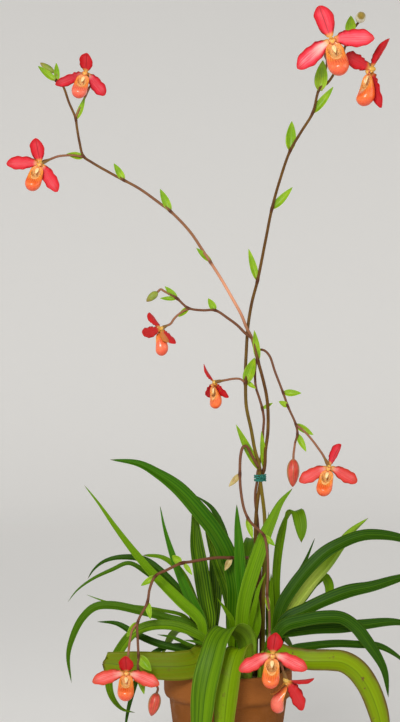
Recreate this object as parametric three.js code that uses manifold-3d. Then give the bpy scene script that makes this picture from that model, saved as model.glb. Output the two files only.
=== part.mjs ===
// A phragmipedium orchid in a clay pot: leaf fans, three flower spikes, ten slipper blooms and five buds.
// Units are millimetres, +Z is up, and the origin is the centre of the pot's foot.

import * as THREE from "three";
import { mergeVertices } from "three/addons/utils/BufferGeometryUtils.js";
import Module from "manifold-3d";

const wasm = await Module();
wasm.setup();

// ---------------------------------------------------------------------------------------------------------
// Driving dimensions

const CLEARANCE = 0.3; // gap between neighbouring pieces
const CRUMB_VOLUME = 1;

const POT_HEIGHT = 145;
const POT_RIM_RADIUS = 80;
const POT_BAND_HEIGHT = 34;
const POT_BAND_STEP = 6.5; // how far the rim band stands out from the body
const POT_FOOT_RADIUS = 60;
const POT_WALL = 7;
const POT_FLOOR = 10;
const DRAIN_RADIUS = 11;
const POT_SIDES = 24;

const MIX_TOP = 130;
const MIX_RELIEF = 3; // height of the bark lumps above and below the surface
const MIX_RINGS = 3;

const CORE_RADIUS = 7.5; // the short stem that a fan's leaf bases wrap
const CORE_SIDES = 8;
const CORE_FOOT = 100; // how deep the fans stand in the mix
const CORE_TOP = 172;
const LEAF_THICKNESS = 1;

const SPIKE_FOOT = 112;
const STEM_SIDES = 5;
const BRACT_THICKNESS = 1.2;
const BRACT_BOW = 0.08; // how far a bract bulges, as a share of its length

const TIE_INNER = 6.4;
const TIE_OUTER = 7.6;
const TIE_HEIGHT = 9;
const TIE_SIDES = 10;

const PETAL_THICKNESS = 0.9;
const POUCH_WALL = 1.1;
const HUB_RADIUS = 5; // the column, where sepals, petals and lip meet
const LIP_SIDES = 8;
const LIP_GIRTH = 10.8; // widest radius of a pouch of size 1
const LIP_MOUTH = 0.85; // share of the girth left at the rim of the mouth
const BUD_SIDES = 7;

// ---------------------------------------------------------------------------------------------------------
// Layout. Points of leaves, stems and blooms are read off a front elevation: x and z are where the line from
// EYE to the point meets the plane y = 0, and y is the point's own depth along that line.

const EYE = new THREE.Vector3(-35, -1900, 527.5);

function place([x, y, z]) {
  const k = (y - EYE.y) / -EYE.y;
  return new THREE.Vector3(EYE.x + (x - EYE.x) * k, y, EYE.z + (z - EYE.z) * k);
}

const point = (x, y, z) => new THREE.Vector3(x, y, z);

// ---------------------------------------------------------------------------------------------------------
// Solids

function solidOf(geometry) {
  const bare = geometry.index ? geometry.toNonIndexed() : geometry.clone();
  bare.deleteAttribute("normal");
  bare.deleteAttribute("uv");
  const merged = mergeVertices(bare, 1e-4);
  return new wasm.Manifold(
    new wasm.Mesh({
      numProp: 3,
      vertProperties: merged.attributes.position.array,
      triVerts: new Uint32Array(merged.index.array),
    }),
  );
}

function geometryOf(solid) {
  const mesh = solid.getMesh();
  const geometry = new THREE.BufferGeometry();
  geometry.setAttribute("position", new THREE.BufferAttribute(mesh.vertProperties, 3));
  geometry.setIndex(new THREE.BufferAttribute(mesh.triVerts, 1));
  geometry.computeVertexNormals();
  return geometry;
}

// Joins what grows together. Crumbs where a tight bend crosses itself are dropped. A loose piece is an error.
function fuse(geometries) {
  const whole = geometries.map(solidOf).reduce((sum, piece) => sum.add(piece));
  const [body, ...crumbs] = whole.decompose().sort((a, b) => b.volume() - a.volume());
  for (const crumb of crumbs) {
    if (Math.abs(crumb.volume()) > CRUMB_VOLUME) {
      throw new Error(`the piece at ${crumb.boundingBox().min} is loose`);
    }
  }
  return geometryOf(body);
}

function indexed(points, faces) {
  const geometry = new THREE.BufferGeometry().setFromPoints(points);
  geometry.setIndex(faces.flat());
  return geometry;
}

// Turns a three.js shape of revolution, made round Y, so that its axis is Z.
const upright = (geometry) => geometry.rotateX(Math.PI / 2);

// Rings of equal size joined one to the next, closed at both ends by a fan from the end ring's second corner.
function ringsGeometry(rings) {
  const count = rings[0].length;
  const points = rings.flat();
  const faces = [];
  for (let i = 0; i + 1 < rings.length; i += 1) {
    for (let j = 0; j < count; j += 1) {
      const a = i * count + j;
      const b = i * count + ((j + 1) % count);
      faces.push([a, b, b + count], [a, b + count, a + count]);
    }
  }
  const last = (rings.length - 1) * count;
  for (let j = 2; j < count; j += 1) {
    const k = (j + 1) % count;
    faces.push([1, k, j], [last + 1, last + j, last + k]);
  }
  return indexed(points, faces);
}

// A thin blade round a net of points on its middle surface. Rows run along the blade and columns across it.
// Both faces are split along the same diagonals, so a waved blade never crosses itself.
function bladeGeometry(net, thickness) {
  const rows = net.length;
  const columns = net[0].length;
  const clamp = (value, top) => Math.min(Math.max(value, 0), top);
  const at = (i, j) => net[clamp(i, rows - 1)][clamp(j, columns - 1)];
  const upper = [];
  const lower = [];
  for (let i = 0; i < rows; i += 1) {
    for (let j = 0; j < columns; j += 1) {
      const along = at(i + 1, j).clone().sub(at(i - 1, j));
      const across = at(i, j + 1).clone().sub(at(i, j - 1));
      const normal = along.cross(across).setLength(thickness / 2);
      upper.push(at(i, j).clone().add(normal));
      lower.push(at(i, j).clone().sub(normal));
    }
  }
  const below = upper.length;
  const faces = [];
  for (let i = 0; i + 1 < rows; i += 1) {
    for (let j = 0; j + 1 < columns; j += 1) {
      const a = i * columns + j;
      const b = a + columns;
      faces.push([a, b, b + 1], [a, b + 1, a + 1]);
      faces.push([a + below, b + 1 + below, b + below], [a + below, a + 1 + below, b + 1 + below]);
    }
  }
  const wall = (a, b) => faces.push([a, a + below, b + below], [a, b + below, b]);
  const end = (rows - 1) * columns;
  for (let i = 0; i + 1 < rows; i += 1) {
    wall(i * columns, (i + 1) * columns);
    wall((i + 2) * columns - 1, (i + 1) * columns - 1);
  }
  for (let j = 0; j + 1 < columns; j += 1) {
    wall(j + 1, j);
    wall(end + j, end + j + 1);
  }
  return indexed([...upper, ...lower], faces);
}

// A round stem with one ring at each point, tapering evenly from the first radius to the last. Each ring
// starts from the direction that is nearest to +Y.
function stemGeometry(points, firstRadius, lastRadius) {
  const curve = new THREE.CatmullRomCurve3(points);
  const rings = points.map((centre, i) => {
    const t = i / (points.length - 1);
    const tangent = curve.getTangent(t);
    const normal = point(0, 1, 0).addScaledVector(tangent, -tangent.y).normalize();
    const binormal = tangent.clone().cross(normal);
    const radius = THREE.MathUtils.lerp(firstRadius, lastRadius, t);
    return Array.from({ length: STEM_SIDES }, (_, j) => {
      const angle = (2 * Math.PI * j) / STEM_SIDES;
      const spoke = normal.clone().multiplyScalar(Math.cos(angle) * radius);
      return spoke.addScaledVector(binormal, Math.sin(angle) * radius).add(centre);
    });
  });
  return ringsGeometry(rings);
}

// ---------------------------------------------------------------------------------------------------------
// Materials

const material = (color, roughness) => new THREE.MeshStandardMaterial({ color, roughness, metalness: 0 });
const TERRACOTTA = material(0xa8683f, 0.85);
const BARK = material(0x5a3b26, 0.95);
const TIE_GREEN = material(0x1f7f63, 0.7);
const LEAF_GREEN = material(0x4f8f1f, 0.45);
const STEM_BROWN = material(0x6b4a35, 0.6);
const PETAL_RED = material(0xe0484f, 0.5);
const LIP_ORANGE = material(0xe8793f, 0.35);
const BUD_GREEN = material(0x86a83f, 0.5);
const BUD_RED = material(0xc65a50, 0.5);

const orchid = new THREE.Group();

function addPiece(name, geometry, finish) {
  const mesh = new THREE.Mesh(geometry, finish);
  mesh.name = name;
  orchid.add(mesh);
}

// ---------------------------------------------------------------------------------------------------------
// Pot, potting mix and tie

const BAND_FOOT = POT_HEIGHT - POT_BAND_HEIGHT;
const BODY_TOP_RADIUS = POT_RIM_RADIUS - POT_BAND_STEP;
const INNER_RIM_RADIUS = POT_RIM_RADIUS - POT_WALL;
const INNER_BAND_RADIUS = BODY_TOP_RADIUS - POT_WALL;
const INNER_FOOT_RADIUS = POT_FOOT_RADIUS - POT_WALL;

function potGeometry() {
  const profile = [
    [DRAIN_RADIUS, 0],
    [POT_FOOT_RADIUS - 2, 0],
    [POT_FOOT_RADIUS, 2],
    [BODY_TOP_RADIUS, BAND_FOOT - 2],
    [POT_RIM_RADIUS - 2, BAND_FOOT],
    [POT_RIM_RADIUS, BAND_FOOT + 5],
    [POT_RIM_RADIUS, POT_HEIGHT - 2],
    [POT_RIM_RADIUS - 2, POT_HEIGHT],
    [INNER_RIM_RADIUS + 1, POT_HEIGHT],
    [INNER_RIM_RADIUS, POT_HEIGHT - 2],
    [INNER_BAND_RADIUS, BAND_FOOT],
    [INNER_FOOT_RADIUS, POT_FLOOR],
    [DRAIN_RADIUS, POT_FLOOR],
    [DRAIN_RADIUS, 0],
  ].map(([radius, height]) => new THREE.Vector2(radius, height));
  return upright(new THREE.LatheGeometry(profile, POT_SIDES));
}

// The mix follows the pot's inner wall. Its top is lumpy: the height is a sum of two waves round the pot.
function mixGeometry() {
  const ring = (radius, height, lumps) =>
    Array.from({ length: POT_SIDES }, (_, j) => {
      const angle = (2 * Math.PI * j) / POT_SIDES;
      const relief = lumps * (Math.sin(5 * angle + radius) + Math.cos(9 * angle - radius)) * 0.5;
      return point(radius * Math.sin(angle), -radius * Math.cos(angle), height + relief);
    });
  const slope = (INNER_RIM_RADIUS - INNER_BAND_RADIUS) / (POT_BAND_HEIGHT - 2);
  const edge = INNER_BAND_RADIUS + slope * (MIX_TOP - BAND_FOOT) - 2 * CLEARANCE;
  const rings = [
    ring(INNER_FOOT_RADIUS - 2 * CLEARANCE, POT_FLOOR + CLEARANCE, 0),
    ring(INNER_BAND_RADIUS - 2 * CLEARANCE, BAND_FOOT, 0),
    ring(edge, MIX_TOP, 0),
  ];
  for (let i = 1; i < MIX_RINGS; i += 1) {
    rings.push(ring(edge * (1 - i / MIX_RINGS), MIX_TOP, MIX_RELIEF));
  }
  return ringsGeometry(rings);
}

function tieGeometry() {
  const half = TIE_HEIGHT / 2;
  const profile = [
    [TIE_INNER, -half],
    [TIE_OUTER - 0.4, -half],
    [TIE_OUTER, 0],
    [TIE_OUTER - 0.4, half],
    [TIE_INNER, half],
    [TIE_INNER, -half],
  ].map(([radius, height]) => new THREE.Vector2(radius, height));
  return upright(new THREE.LatheGeometry(profile, TIE_SIDES));
}

// A plain hole in the mix: a post of the growth's own section and phase, grown by the clearance.
function holeGeometry([x, y], radius, sides, foot) {
  const height = POT_HEIGHT - foot;
  const post = upright(new THREE.CylinderGeometry(radius, radius, height, sides));
  return post.translate(x, y, foot + height / 2);
}

// ---------------------------------------------------------------------------------------------------------
// Leaves. width is the blade's full width, face is how far its upper side is turned from the sky towards the
// front in degrees, and taper is how far along the blade it starts to narrow. A leaf that comes over the rim
// towards the front has its cross direction in across instead of face. acrossEnd is that direction at the tip
// of a blade that is twisted.

const FANS = {
  leaf_fan_front: {
    core: [22, -50],
    leaves: [
      {
        width: 34,
        across: [-1, 0.3, -0.2],
        route: [[22, -58, 176], [12, -70, 188], [0, -82, 191], [-11, -95, 179], [-20, -108, 151],
          [-28, -116, 116], [-32, -120, 76], [-35, -122, 39], [-36, -121, 1]],
      },
      {
        width: 30,
        across: [-1, 0.3, -0.2],
        route: [[21, -62, 159], [18, -74, 166], [12, -86, 164], [5, -97, 144], [0, -104, 114],
          [-4, -108, 76], [-5, -110, 44], [-4, -110, 14]],
      },
    ],
  },
  leaf_fan_left_front: {
    core: [-26, -36],
    leaves: [
      {
        width: 36,
        face: 66,
        blunt: 0.75,
        route: [[-29, -50, 158], [-39, -60, 149], [-60, -66, 145], [-91, -67, 145], [-122, -67, 146],
          [-156, -67, 149]],
      },
      { width: 7, face: 50, route: [[-28, -56, 169], [-40, -61, 175], [-55, -64, 178]] },
      { width: 6, face: 55, route: [[-31, -42, 164], [-50, -43, 172], [-70, -43, 181], [-89, -43, 185]] },
      {
        width: 7,
        face: 60,
        route: [[-48, -14, 169], [-72, -14, 170], [-95, -16, 160], [-110, -19, 139], [-120, -22, 110],
          [-126, -24, 85], [-130, -25, 54]],
      },
      {
        width: 11,
        face: 50,
        route: [[-35, -26, 160], [-60, -25, 166], [-91, -23, 174], [-116, -20, 185], [-139, -17, 198],
          [-164, -15, 201]],
      },
      {
        width: 14,
        face: 55,
        route: [[-28, -48, 176], [-48, -51, 189], [-72, -52, 196], [-98, -52, 195], [-118, -50, 186],
          [-132, -47, 170], [-145, -44, 145], [-149, -42, 122], [-144, -42, 104], [-132, -43, 91],
          [-116, -44, 87]],
      },
      {
        width: 17,
        face: 60,
        taper: 0.2,
        route: [[-35, -36, 201], [-60, -37, 226], [-89, -38, 255], [-116, -40, 286], [-141, -42, 319],
          [-162, -44, 349], [-180, -46, 372]],
      },
      {
        width: 15,
        face: 62,
        taper: 0.3,
        route: [[-31, -28, 196], [-48, -25, 231], [-61, -23, 261], [-72, -22, 292], [-80, -21, 320],
          [-85, -20, 346]],
      },
    ],
  },
  leaf_fan_left: {
    core: [-30, 8],
    leaves: [
      {
        width: 12,
        face: 58,
        route: [[-45, -4, 194], [-79, -5, 206], [-110, -6, 214], [-145, -7, 221], [-166, -8, 219],
          [-182, -8, 205], [-194, -7, 182], [-200, -6, 158], [-196, -6, 124]],
      },
      {
        width: 6,
        face: 50,
        route: [[-52, 6, 205], [-85, 6, 215], [-122, 6, 220], [-150, 5, 225], [-178, 5, 235]],
      },
      {
        width: 7,
        face: 50,
        route: [[-54, 16, 225], [-79, 18, 244], [-101, 18, 261], [-124, 18, 274], [-145, 16, 266],
          [-170, 14, 254], [-189, 12, 240], [-201, 12, 225]],
      },
      {
        width: 11,
        face: 50,
        route: [[-51, 26, 225], [-65, 28, 244], [-85, 30, 264], [-106, 32, 278], [-135, 32, 281],
          [-155, 32, 276], [-168, 32, 266], [-176, 32, 254]],
      },
      {
        width: 10,
        face: 50,
        blunt: 0.4,
        route: [[-45, 36, 235], [-62, 40, 266], [-82, 42, 281], [-105, 44, 284]],
      },
      {
        width: 22,
        face: 75,
        route: [[-24, 4, 201], [-28, 6, 229], [-34, 9, 266], [-39, 13, 298], [-41, 17, 322],
          [-44, 21, 348]],
      },
    ],
  },
  leaf_fan_centre_left: {
    core: [6, 20],
    leaves: [
      { width: 8, face: 60, route: [[5, -2, 201], [-2, -4, 214], [-14, -6, 231]] },
      {
        width: 24,
        face: 55,
        route: [[10, 5, 239], [1, 3, 279], [-16, -1, 312], [-38, -7, 340], [-62, -12, 366],
          [-88, -17, 385], [-112, -21, 398], [-148, -25, 404]],
      },
      {
        width: 20,
        face: 60,
        route: [[6, 14, 214], [-2, 18, 248], [-14, 22, 281], [-24, 27, 314], [-31, 32, 339]],
      },
      {
        width: 12,
        face: 55,
        route: [[6, 26, 241], [1, 31, 279], [-8, 36, 319], [-21, 40, 344], [-42, 44, 360]],
      },
    ],
  },
  leaf_fan_centre: {
    core: [20, -14],
    leaves: [
      {
        width: 19,
        face: 65,
        route: [[18, -28, 204], [22, -30, 231], [30, -30, 260], [38, -29, 284], [46, -27, 308],
          [56, -24, 330], [66, -21, 350], [81, -18, 368]],
      },
      { width: 7, face: 65, route: [[34, -40, 224], [39, -43, 244], [48, -45, 264]] },
      { width: 11, face: 75, route: [[36, -26, 194], [36, -25, 221], [35, -23, 246]] },
      { width: 10, face: 70, route: [[28, -16, 222], [28, -16, 256], [30, -15, 285], [41, -14, 312]] },
      {
        width: 15,
        face: 80,
        route: [[19, -18, 229], [16, -18, 260], [14, -17, 294], [12, -15, 322], [11, -13, 348]],
      },
    ],
  },
  leaf_fan_right_back: {
    core: [50, 26],
    leaves: [
      {
        width: 14,
        face: 62,
        taper: 0.8,
        blunt: 0.6,
        route: [[80, 40, 214], [94, 46, 232], [108, 50, 250], [119, 52, 257], [126, 53, 248],
          [127, 53, 228]],
      },
      {
        width: 13,
        face: 60,
        taper: 0.4,
        route: [[68, 32, 226], [79, 34, 245], [89, 36, 261], [98, 37, 279], [109, 38, 306]],
      },
      {
        width: 18,
        taper: 0.88,
        across: [0, -1, 0],
        acrossEnd: [-1, 0, 0],
        route: [[60, 40, 229], [61, 44, 262], [65, 48, 296], [71, 50, 322], [79, 44, 337], [86, 36, 339],
          [91, 27, 322], [92, 23, 300]],
      },
      {
        width: 11,
        face: 70,
        taper: 0.8,
        route: [[60, 22, 214], [60, 20, 248], [62, 18, 279], [66, 17, 306], [75, 15, 340]],
      },
      { width: 9, face: 75, route: [[54, 16, 201], [54, 15, 229], [54, 14, 262]] },
      { width: 6, face: 70, route: [[50, 21, 229], [49, 20, 279], [49, 19, 310], [51, 18, 339]] },
    ],
  },
  leaf_fan_right: {
    core: [54, -6],
    leaves: [
      {
        width: 20,
        face: 45,
        route: [[74, -16, 202], [98, -18, 215], [125, -17, 228], [152, -15, 238], [180, -13, 244],
          [215, -10, 255], [252, -8, 264]],
      },
      {
        width: 23,
        face: -58,
        route: [[71, -2, 201], [86, 6, 224], [104, 13, 248], [124, 19, 271], [141, 23, 294],
          [156, 26, 314], [176, 28, 331]],
      },
      {
        width: 18,
        face: 50,
        route: [[66, -4, 216], [81, -2, 242], [101, 0, 267], [122, 2, 287], [145, 4, 300], [168, 6, 308],
          [190, 9, 309], [218, 12, 304], [246, 16, 291], [274, 20, 272]],
      },
    ],
  },
  leaf_fan_right_front: {
    core: [42, -38],
    leaves: [
      {
        width: 30,
        face: 55,
        route: [[60, -50, 162], [78, -60, 155], [100, -66, 151], [125, -68, 151], [144, -68, 149],
          [159, -68, 140], [172, -68, 124], [182, -68, 104], [190, -68, 79], [194, -68, 48],
          [195, -68, 10]],
      },
      {
        width: 13,
        face: 45,
        route: [[78, -44, 164], [102, -40, 169], [134, -34, 172], [162, -28, 171], [190, -23, 169],
          [215, -20, 155], [230, -18, 139]],
      },
      {
        width: 18,
        face: 45,
        route: [[59, -48, 182], [80, -40, 186], [109, -32, 190], [140, -26, 192], [171, -22, 196],
          [209, -18, 200], [246, -15, 194]],
      },
      {
        width: 18,
        face: 55,
        route: [[70, -46, 194], [95, -46, 202], [121, -45, 206], [142, -44, 205], [159, -43, 194],
          [172, -42, 178], [186, -41, 158], [196, -40, 138], [201, -40, 106]],
      },
    ],
  },
  leaf_fan_back_left: {
    core: [-22, 44],
    leaves: [
      { width: 18, across: [1, 0.5, 0], route: [[-40, 72, 178], [-62, 104, 188], [-84, 130, 158]] },
      {
        width: 22,
        across: [1, 0, 0],
        route: [[-24, 66, 205], [-24, 98, 240], [-24, 128, 232], [-24, 146, 196]],
      },
      {
        width: 20,
        across: [1, 0, 0],
        route: [[-16, 58, 240], [-14, 74, 290], [-12, 98, 325], [-10, 124, 334]],
      },
    ],
  },
  leaf_fan_back_right: {
    core: [14, 50],
    leaves: [
      { width: 20, across: [1, -0.7, 0], route: [[32, 72, 176], [58, 98, 186], [84, 124, 164]] },
      {
        width: 22,
        across: [1, 0, 0],
        route: [[20, 72, 208], [26, 102, 240], [32, 130, 224], [36, 146, 186]],
      },
      {
        width: 18,
        across: [1, 0, 0],
        route: [[20, 60, 240], [24, 78, 285], [28, 104, 305], [32, 130, 296]],
      },
    ],
  },
};

const ROOT_HEIGHT = MIX_TOP + 9; // the lowest leaf's root, inside the core
const ROOT_STEP = 4; // each younger leaf starts this much higher
const LEAF_FOLD = THREE.MathUtils.degToRad(20);
const LEAF_STEP_LENGTH = 43;
const LEAF_TWIST = [0.72, 0.84]; // the part of a blade's length over which a twisted one turns
const TIP_SHARE = 0.07; // width left at the tip of a pointed leaf

function leafRoute({ route }, core, order) {
  const seen = route.map(place);
  const root = point(core[0], core[1], ROOT_HEIGHT + ROOT_STEP * order);
  const heading = seen[0].clone().sub(root).setZ(0).normalize();
  root.addScaledVector(heading, 2);
  const sheath = root.clone().lerp(seen[0], 0.3);
  sheath.z = THREE.MathUtils.lerp(root.z, seen[0].z, 0.45);
  return new THREE.CatmullRomCurve3([root, sheath, ...seen]);
}

// The blade's width at t: half at the root, full from a quarter of the length, then falling as a parabola.
function leafWidth({ width, taper = 0.55, blunt = TIP_SHARE }, t) {
  const opening = Math.min(1, 0.5 + 2 * t);
  const fall = Math.max(0, (t - taper) / (1 - taper));
  return width * opening * (1 - (1 - blunt) * fall ** (taper < 0.5 ? 1.2 : 2));
}

// Rows of three points: left margin, midrib, right margin, folded up into a shallow V.
function leafNet(leaf, core, order) {
  const curve = leafRoute(leaf, core, order);
  const steps = THREE.MathUtils.clamp(Math.round(curve.getLength() / LEAF_STEP_LENGTH), 4, 11);
  const turned = THREE.MathUtils.degToRad(leaf.face ?? 0);
  const facing = point(0, -Math.sin(turned), Math.cos(turned));
  const net = [];
  for (let i = 0; i <= steps; i += 1) {
    const t = i / steps;
    const middle = curve.getPointAt(t);
    const along = curve.getTangentAt(t);
    const side = leaf.across ? point(...leaf.across) : along.clone().cross(facing);
    if (leaf.acrossEnd) {
      side.lerp(point(...leaf.acrossEnd), THREE.MathUtils.smoothstep(t, ...LEAF_TWIST));
    }
    side.addScaledVector(along, -side.dot(along)).normalize();
    const up = side.clone().cross(along);
    const half = leafWidth(leaf, t) / 2;
    const margin = (sign) =>
      middle
        .clone()
        .addScaledVector(side, sign * half * Math.cos(LEAF_FOLD))
        .addScaledVector(up, half * Math.sin(LEAF_FOLD));
    net.push([margin(-1), middle, margin(1)]);
  }
  return net;
}

// The short stem inside a fan: a straight foot in the mix and a cone above it.
function coreGeometry([x, y]) {
  const profile = [
    [0, CORE_FOOT],
    [CORE_RADIUS, CORE_FOOT],
    [CORE_RADIUS, MIX_TOP + 6],
    [CORE_RADIUS * 0.5, CORE_TOP],
    [0, CORE_TOP],
  ].map(([radius, height]) => new THREE.Vector2(radius, height));
  return upright(new THREE.LatheGeometry(profile, CORE_SIDES)).translate(x, y, 0);
}

function fanGeometry({ core, leaves }) {
  const blades = leaves.map((leaf, order) => bladeGeometry(leafNet(leaf, core, order), LEAF_THICKNESS));
  return fuse([coreGeometry(core), ...blades]);
}

// ---------------------------------------------------------------------------------------------------------
// Spikes. Each stem has its route and its first and last radius; a bract is [foot, tip, width]. A stem that
// starts in the mix has root, its place in the pot.

const SPIKES = {
  spike_tall_right: {
    stems: [
      {
        root: [44, 4],
        radii: [2.6, 1.5],
        route: [[45, 2, 279], [46, 0, 330], [42, -3, 366], [40, -3.5, 381], [39, -5, 398], [34, -7, 415],
          [29, -9, 442], [23, -8, 471], [22, -5, 500], [22, -2, 518], [23, 2, 539], [25, 6, 570],
          [30, 6, 601], [37, 2, 628], [47, -6, 678], [55, -14, 718], [65, -24, 754], [78, -34, 791],
          [92, -42, 815], [106, -48, 838], [115, -52, 869], [124, -52, 875], [132, -51, 886],
          [141, -48, 906], [150, -45, 929], [157, -44, 943], [164.6, -45.5, 953]],
      },
      {
        radii: [1.9, 1.5],
        route: [[38, -6, 395], [30, -11, 409], [23, -15, 421], [19, -17, 420], [16, -19, 410],
          [15, -24, 385], [16, -28, 366], [20, -34, 343], [26, -41, 329], [35, -50, 319], [45, -58, 309],
          [49, -65, 290], [50, -74, 261], [49, -85, 235], [51, -91, 221], [52, -99, 201],
          [52, -106, 186]],
      },
    ],
    bracts: [
      [[39, -5, 391], [10, -22, 448], 10], [[22, -5, 500], [33, -18, 531], 14],
      [[23, -4, 502], [35, -9, 493], 6], [[37, 2, 628], [26, -4, 668], 9],
      [[55, -14, 718], [81, -18, 745], 10], [[78, -34, 791], [80, -41, 828], 13],
      [[106, -48, 838], [132, -53, 871], 10], [[115, -53, 866], [119, -68, 904], 16],
      [[153, -46, 938], [154, -62, 960], 13], [[15, -24, 386], [1, -30, 370], 7.5],
      [[24, -40, 330], [31, -47, 305], 7.5], [[45, -58, 309], [59, -62, 296], 7.5],
      [[49, -85, 234], [51, -95, 214], 6],
    ],
  },
  spike_tall_left: {
    stems: [
      {
        root: [35, 8],
        radii: [2.5, 1.5],
        route: [[37, 7, 260], [35, 6, 281], [35, 5, 330], [39, 3, 366], [42, 2, 381], [46, 1, 396],
          [47, 0, 415], [50, -2, 439], [50, -4, 468], [48, -6, 486], [43, -8, 508], [38, -9, 526],
          [34, -9, 541], [30, -9, 556], [23, -9, 570], [17, -8, 585], [6, -8, 605], [-9, -8, 631],
          [-31, -8, 665], [-48, -7, 690], [-72, -5, 715], [-84, -4, 724], [-112, -1, 744],
          [-142, 2, 760], [-170, 4, 776], [-181, 5, 784], [-186, 8, 802], [-189, 10, 819],
          [-191, 11, 832], [-199, 13, 851], [-208, 14, 874], [-216, 15, 879]],
      },
      {
        radii: [1.8, 1.4],
        route: [[30, -9, 556], [22, -12, 562], [12, -16, 572], [0, -18, 581], [-16, -20, 591],
          [-32, -22, 591], [-50, -24, 594], [-64, -25, 606], [-75, -26, 612]],
      },
      {
        radii: [2, 1.4],
        route: [[35, 6, 281], [25, 3, 281], [15, -3, 281], [4, -10, 281], [-16, -22, 281],
          [-47, -42, 276], [-59, -50, 274], [-76, -60, 266], [-91, -68, 258], [-98, -73, 242],
          [-101, -79, 225], [-113, -87, 200], [-113, -93, 179], [-112, -98, 158], [-112, -101, 140],
          [-102, -102, 128], [-94, -102, 121]],
      },
    ],
    bracts: [
      [[46, 1, 390], [42, -9, 440], 7.5], [[38, -9, 528], [33, -17, 566], 9],
      [[-21, -8, 652], [-40, -13, 669], 7.5], [[-72, -5, 715], [-85, -10, 743], 10],
      [[-130, 1, 754], [-143, -4, 775], 9], [[-181, 5, 783], [-202, -2, 787], 10],
      [[-190, 11, 830], [-179, 6, 858], 7.5], [[-216, 15, 879], [-238, 4, 897], 9],
      [[-214, 15, 878], [-215, 11, 901], 7.5], [[-16, -20, 591], [-25, -24, 606], 9],
      [[-50, -24, 594], [-62, -29, 583], 7.5], [[-64, -25, 606], [-79, -29, 621], 8],
      [[-64, -25, 606], [-85, -30, 606], 6], [[4, -10, 281], [-4, -16, 265], 7.5],
      [[-59, -50, 274], [-70, -54, 284], 10], [[-55, -48, 274], [-45, -54, 260], 6],
      [[-91, -68, 258], [-109, -73, 246], 7.5], [[-101, -79, 226], [-97, -86, 204], 7.5],
      [[-113, -87, 200], [-127, -93, 182], 9], [[-112, -98, 158], [-96, -103, 139], 12],
      [[-112, -101, 140], [-105, -105, 110], 9],
    ],
  },
  spike_slender: {
    stems: [
      {
        root: [42, 17],
        radii: [2, 1.4],
        route: [[40, 13, 279], [37, 11, 329], [34.4, 8.2, 350], [34.5, 5, 364], [36.3, 1, 376],
          [36.8, 0.4, 386], [40, 5, 401], [43, 7, 416], [44, 7, 439], [45, 6, 455], [43, 5, 468],
          [39, 4, 482], [35, 4, 495], [34, 4, 515], [36, 3, 531], [39, 1, 541], [45, -2, 541],
          [52, -4, 534], [59, -9, 514], [69, -15, 488], [75, -20, 471], [85, -30, 448], [87, -33, 436],
          [84, -34, 425]],
      },
    ],
    bracts: [
      [[43, 5, 468], [56, 1, 475], 5], [[69, -15, 488], [92, -20, 487], 9],
      [[75, -20, 471], [64, -24, 477], 7.5], [[85, -30, 448], [107, -37, 435], 9],
      [[87, -33, 436], [98, -38, 414], 8],
    ],
  },
};

// ---------------------------------------------------------------------------------------------------------
// Flowers. at is the column, seat is where the pedicel ends behind it, and pedicel leads from the spike to
// the seat. Angles are in degrees. turn is yaw, pitch and roll of a bloom that faces the front. The dorsal
// sepal nods forward by hood and to the left by lean. The left and the right petal hang by droop and reach
// forward by sweep. reach scales the length of left petal, right petal and dorsal sepal, and twist turns the
// same three about their length.

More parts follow.
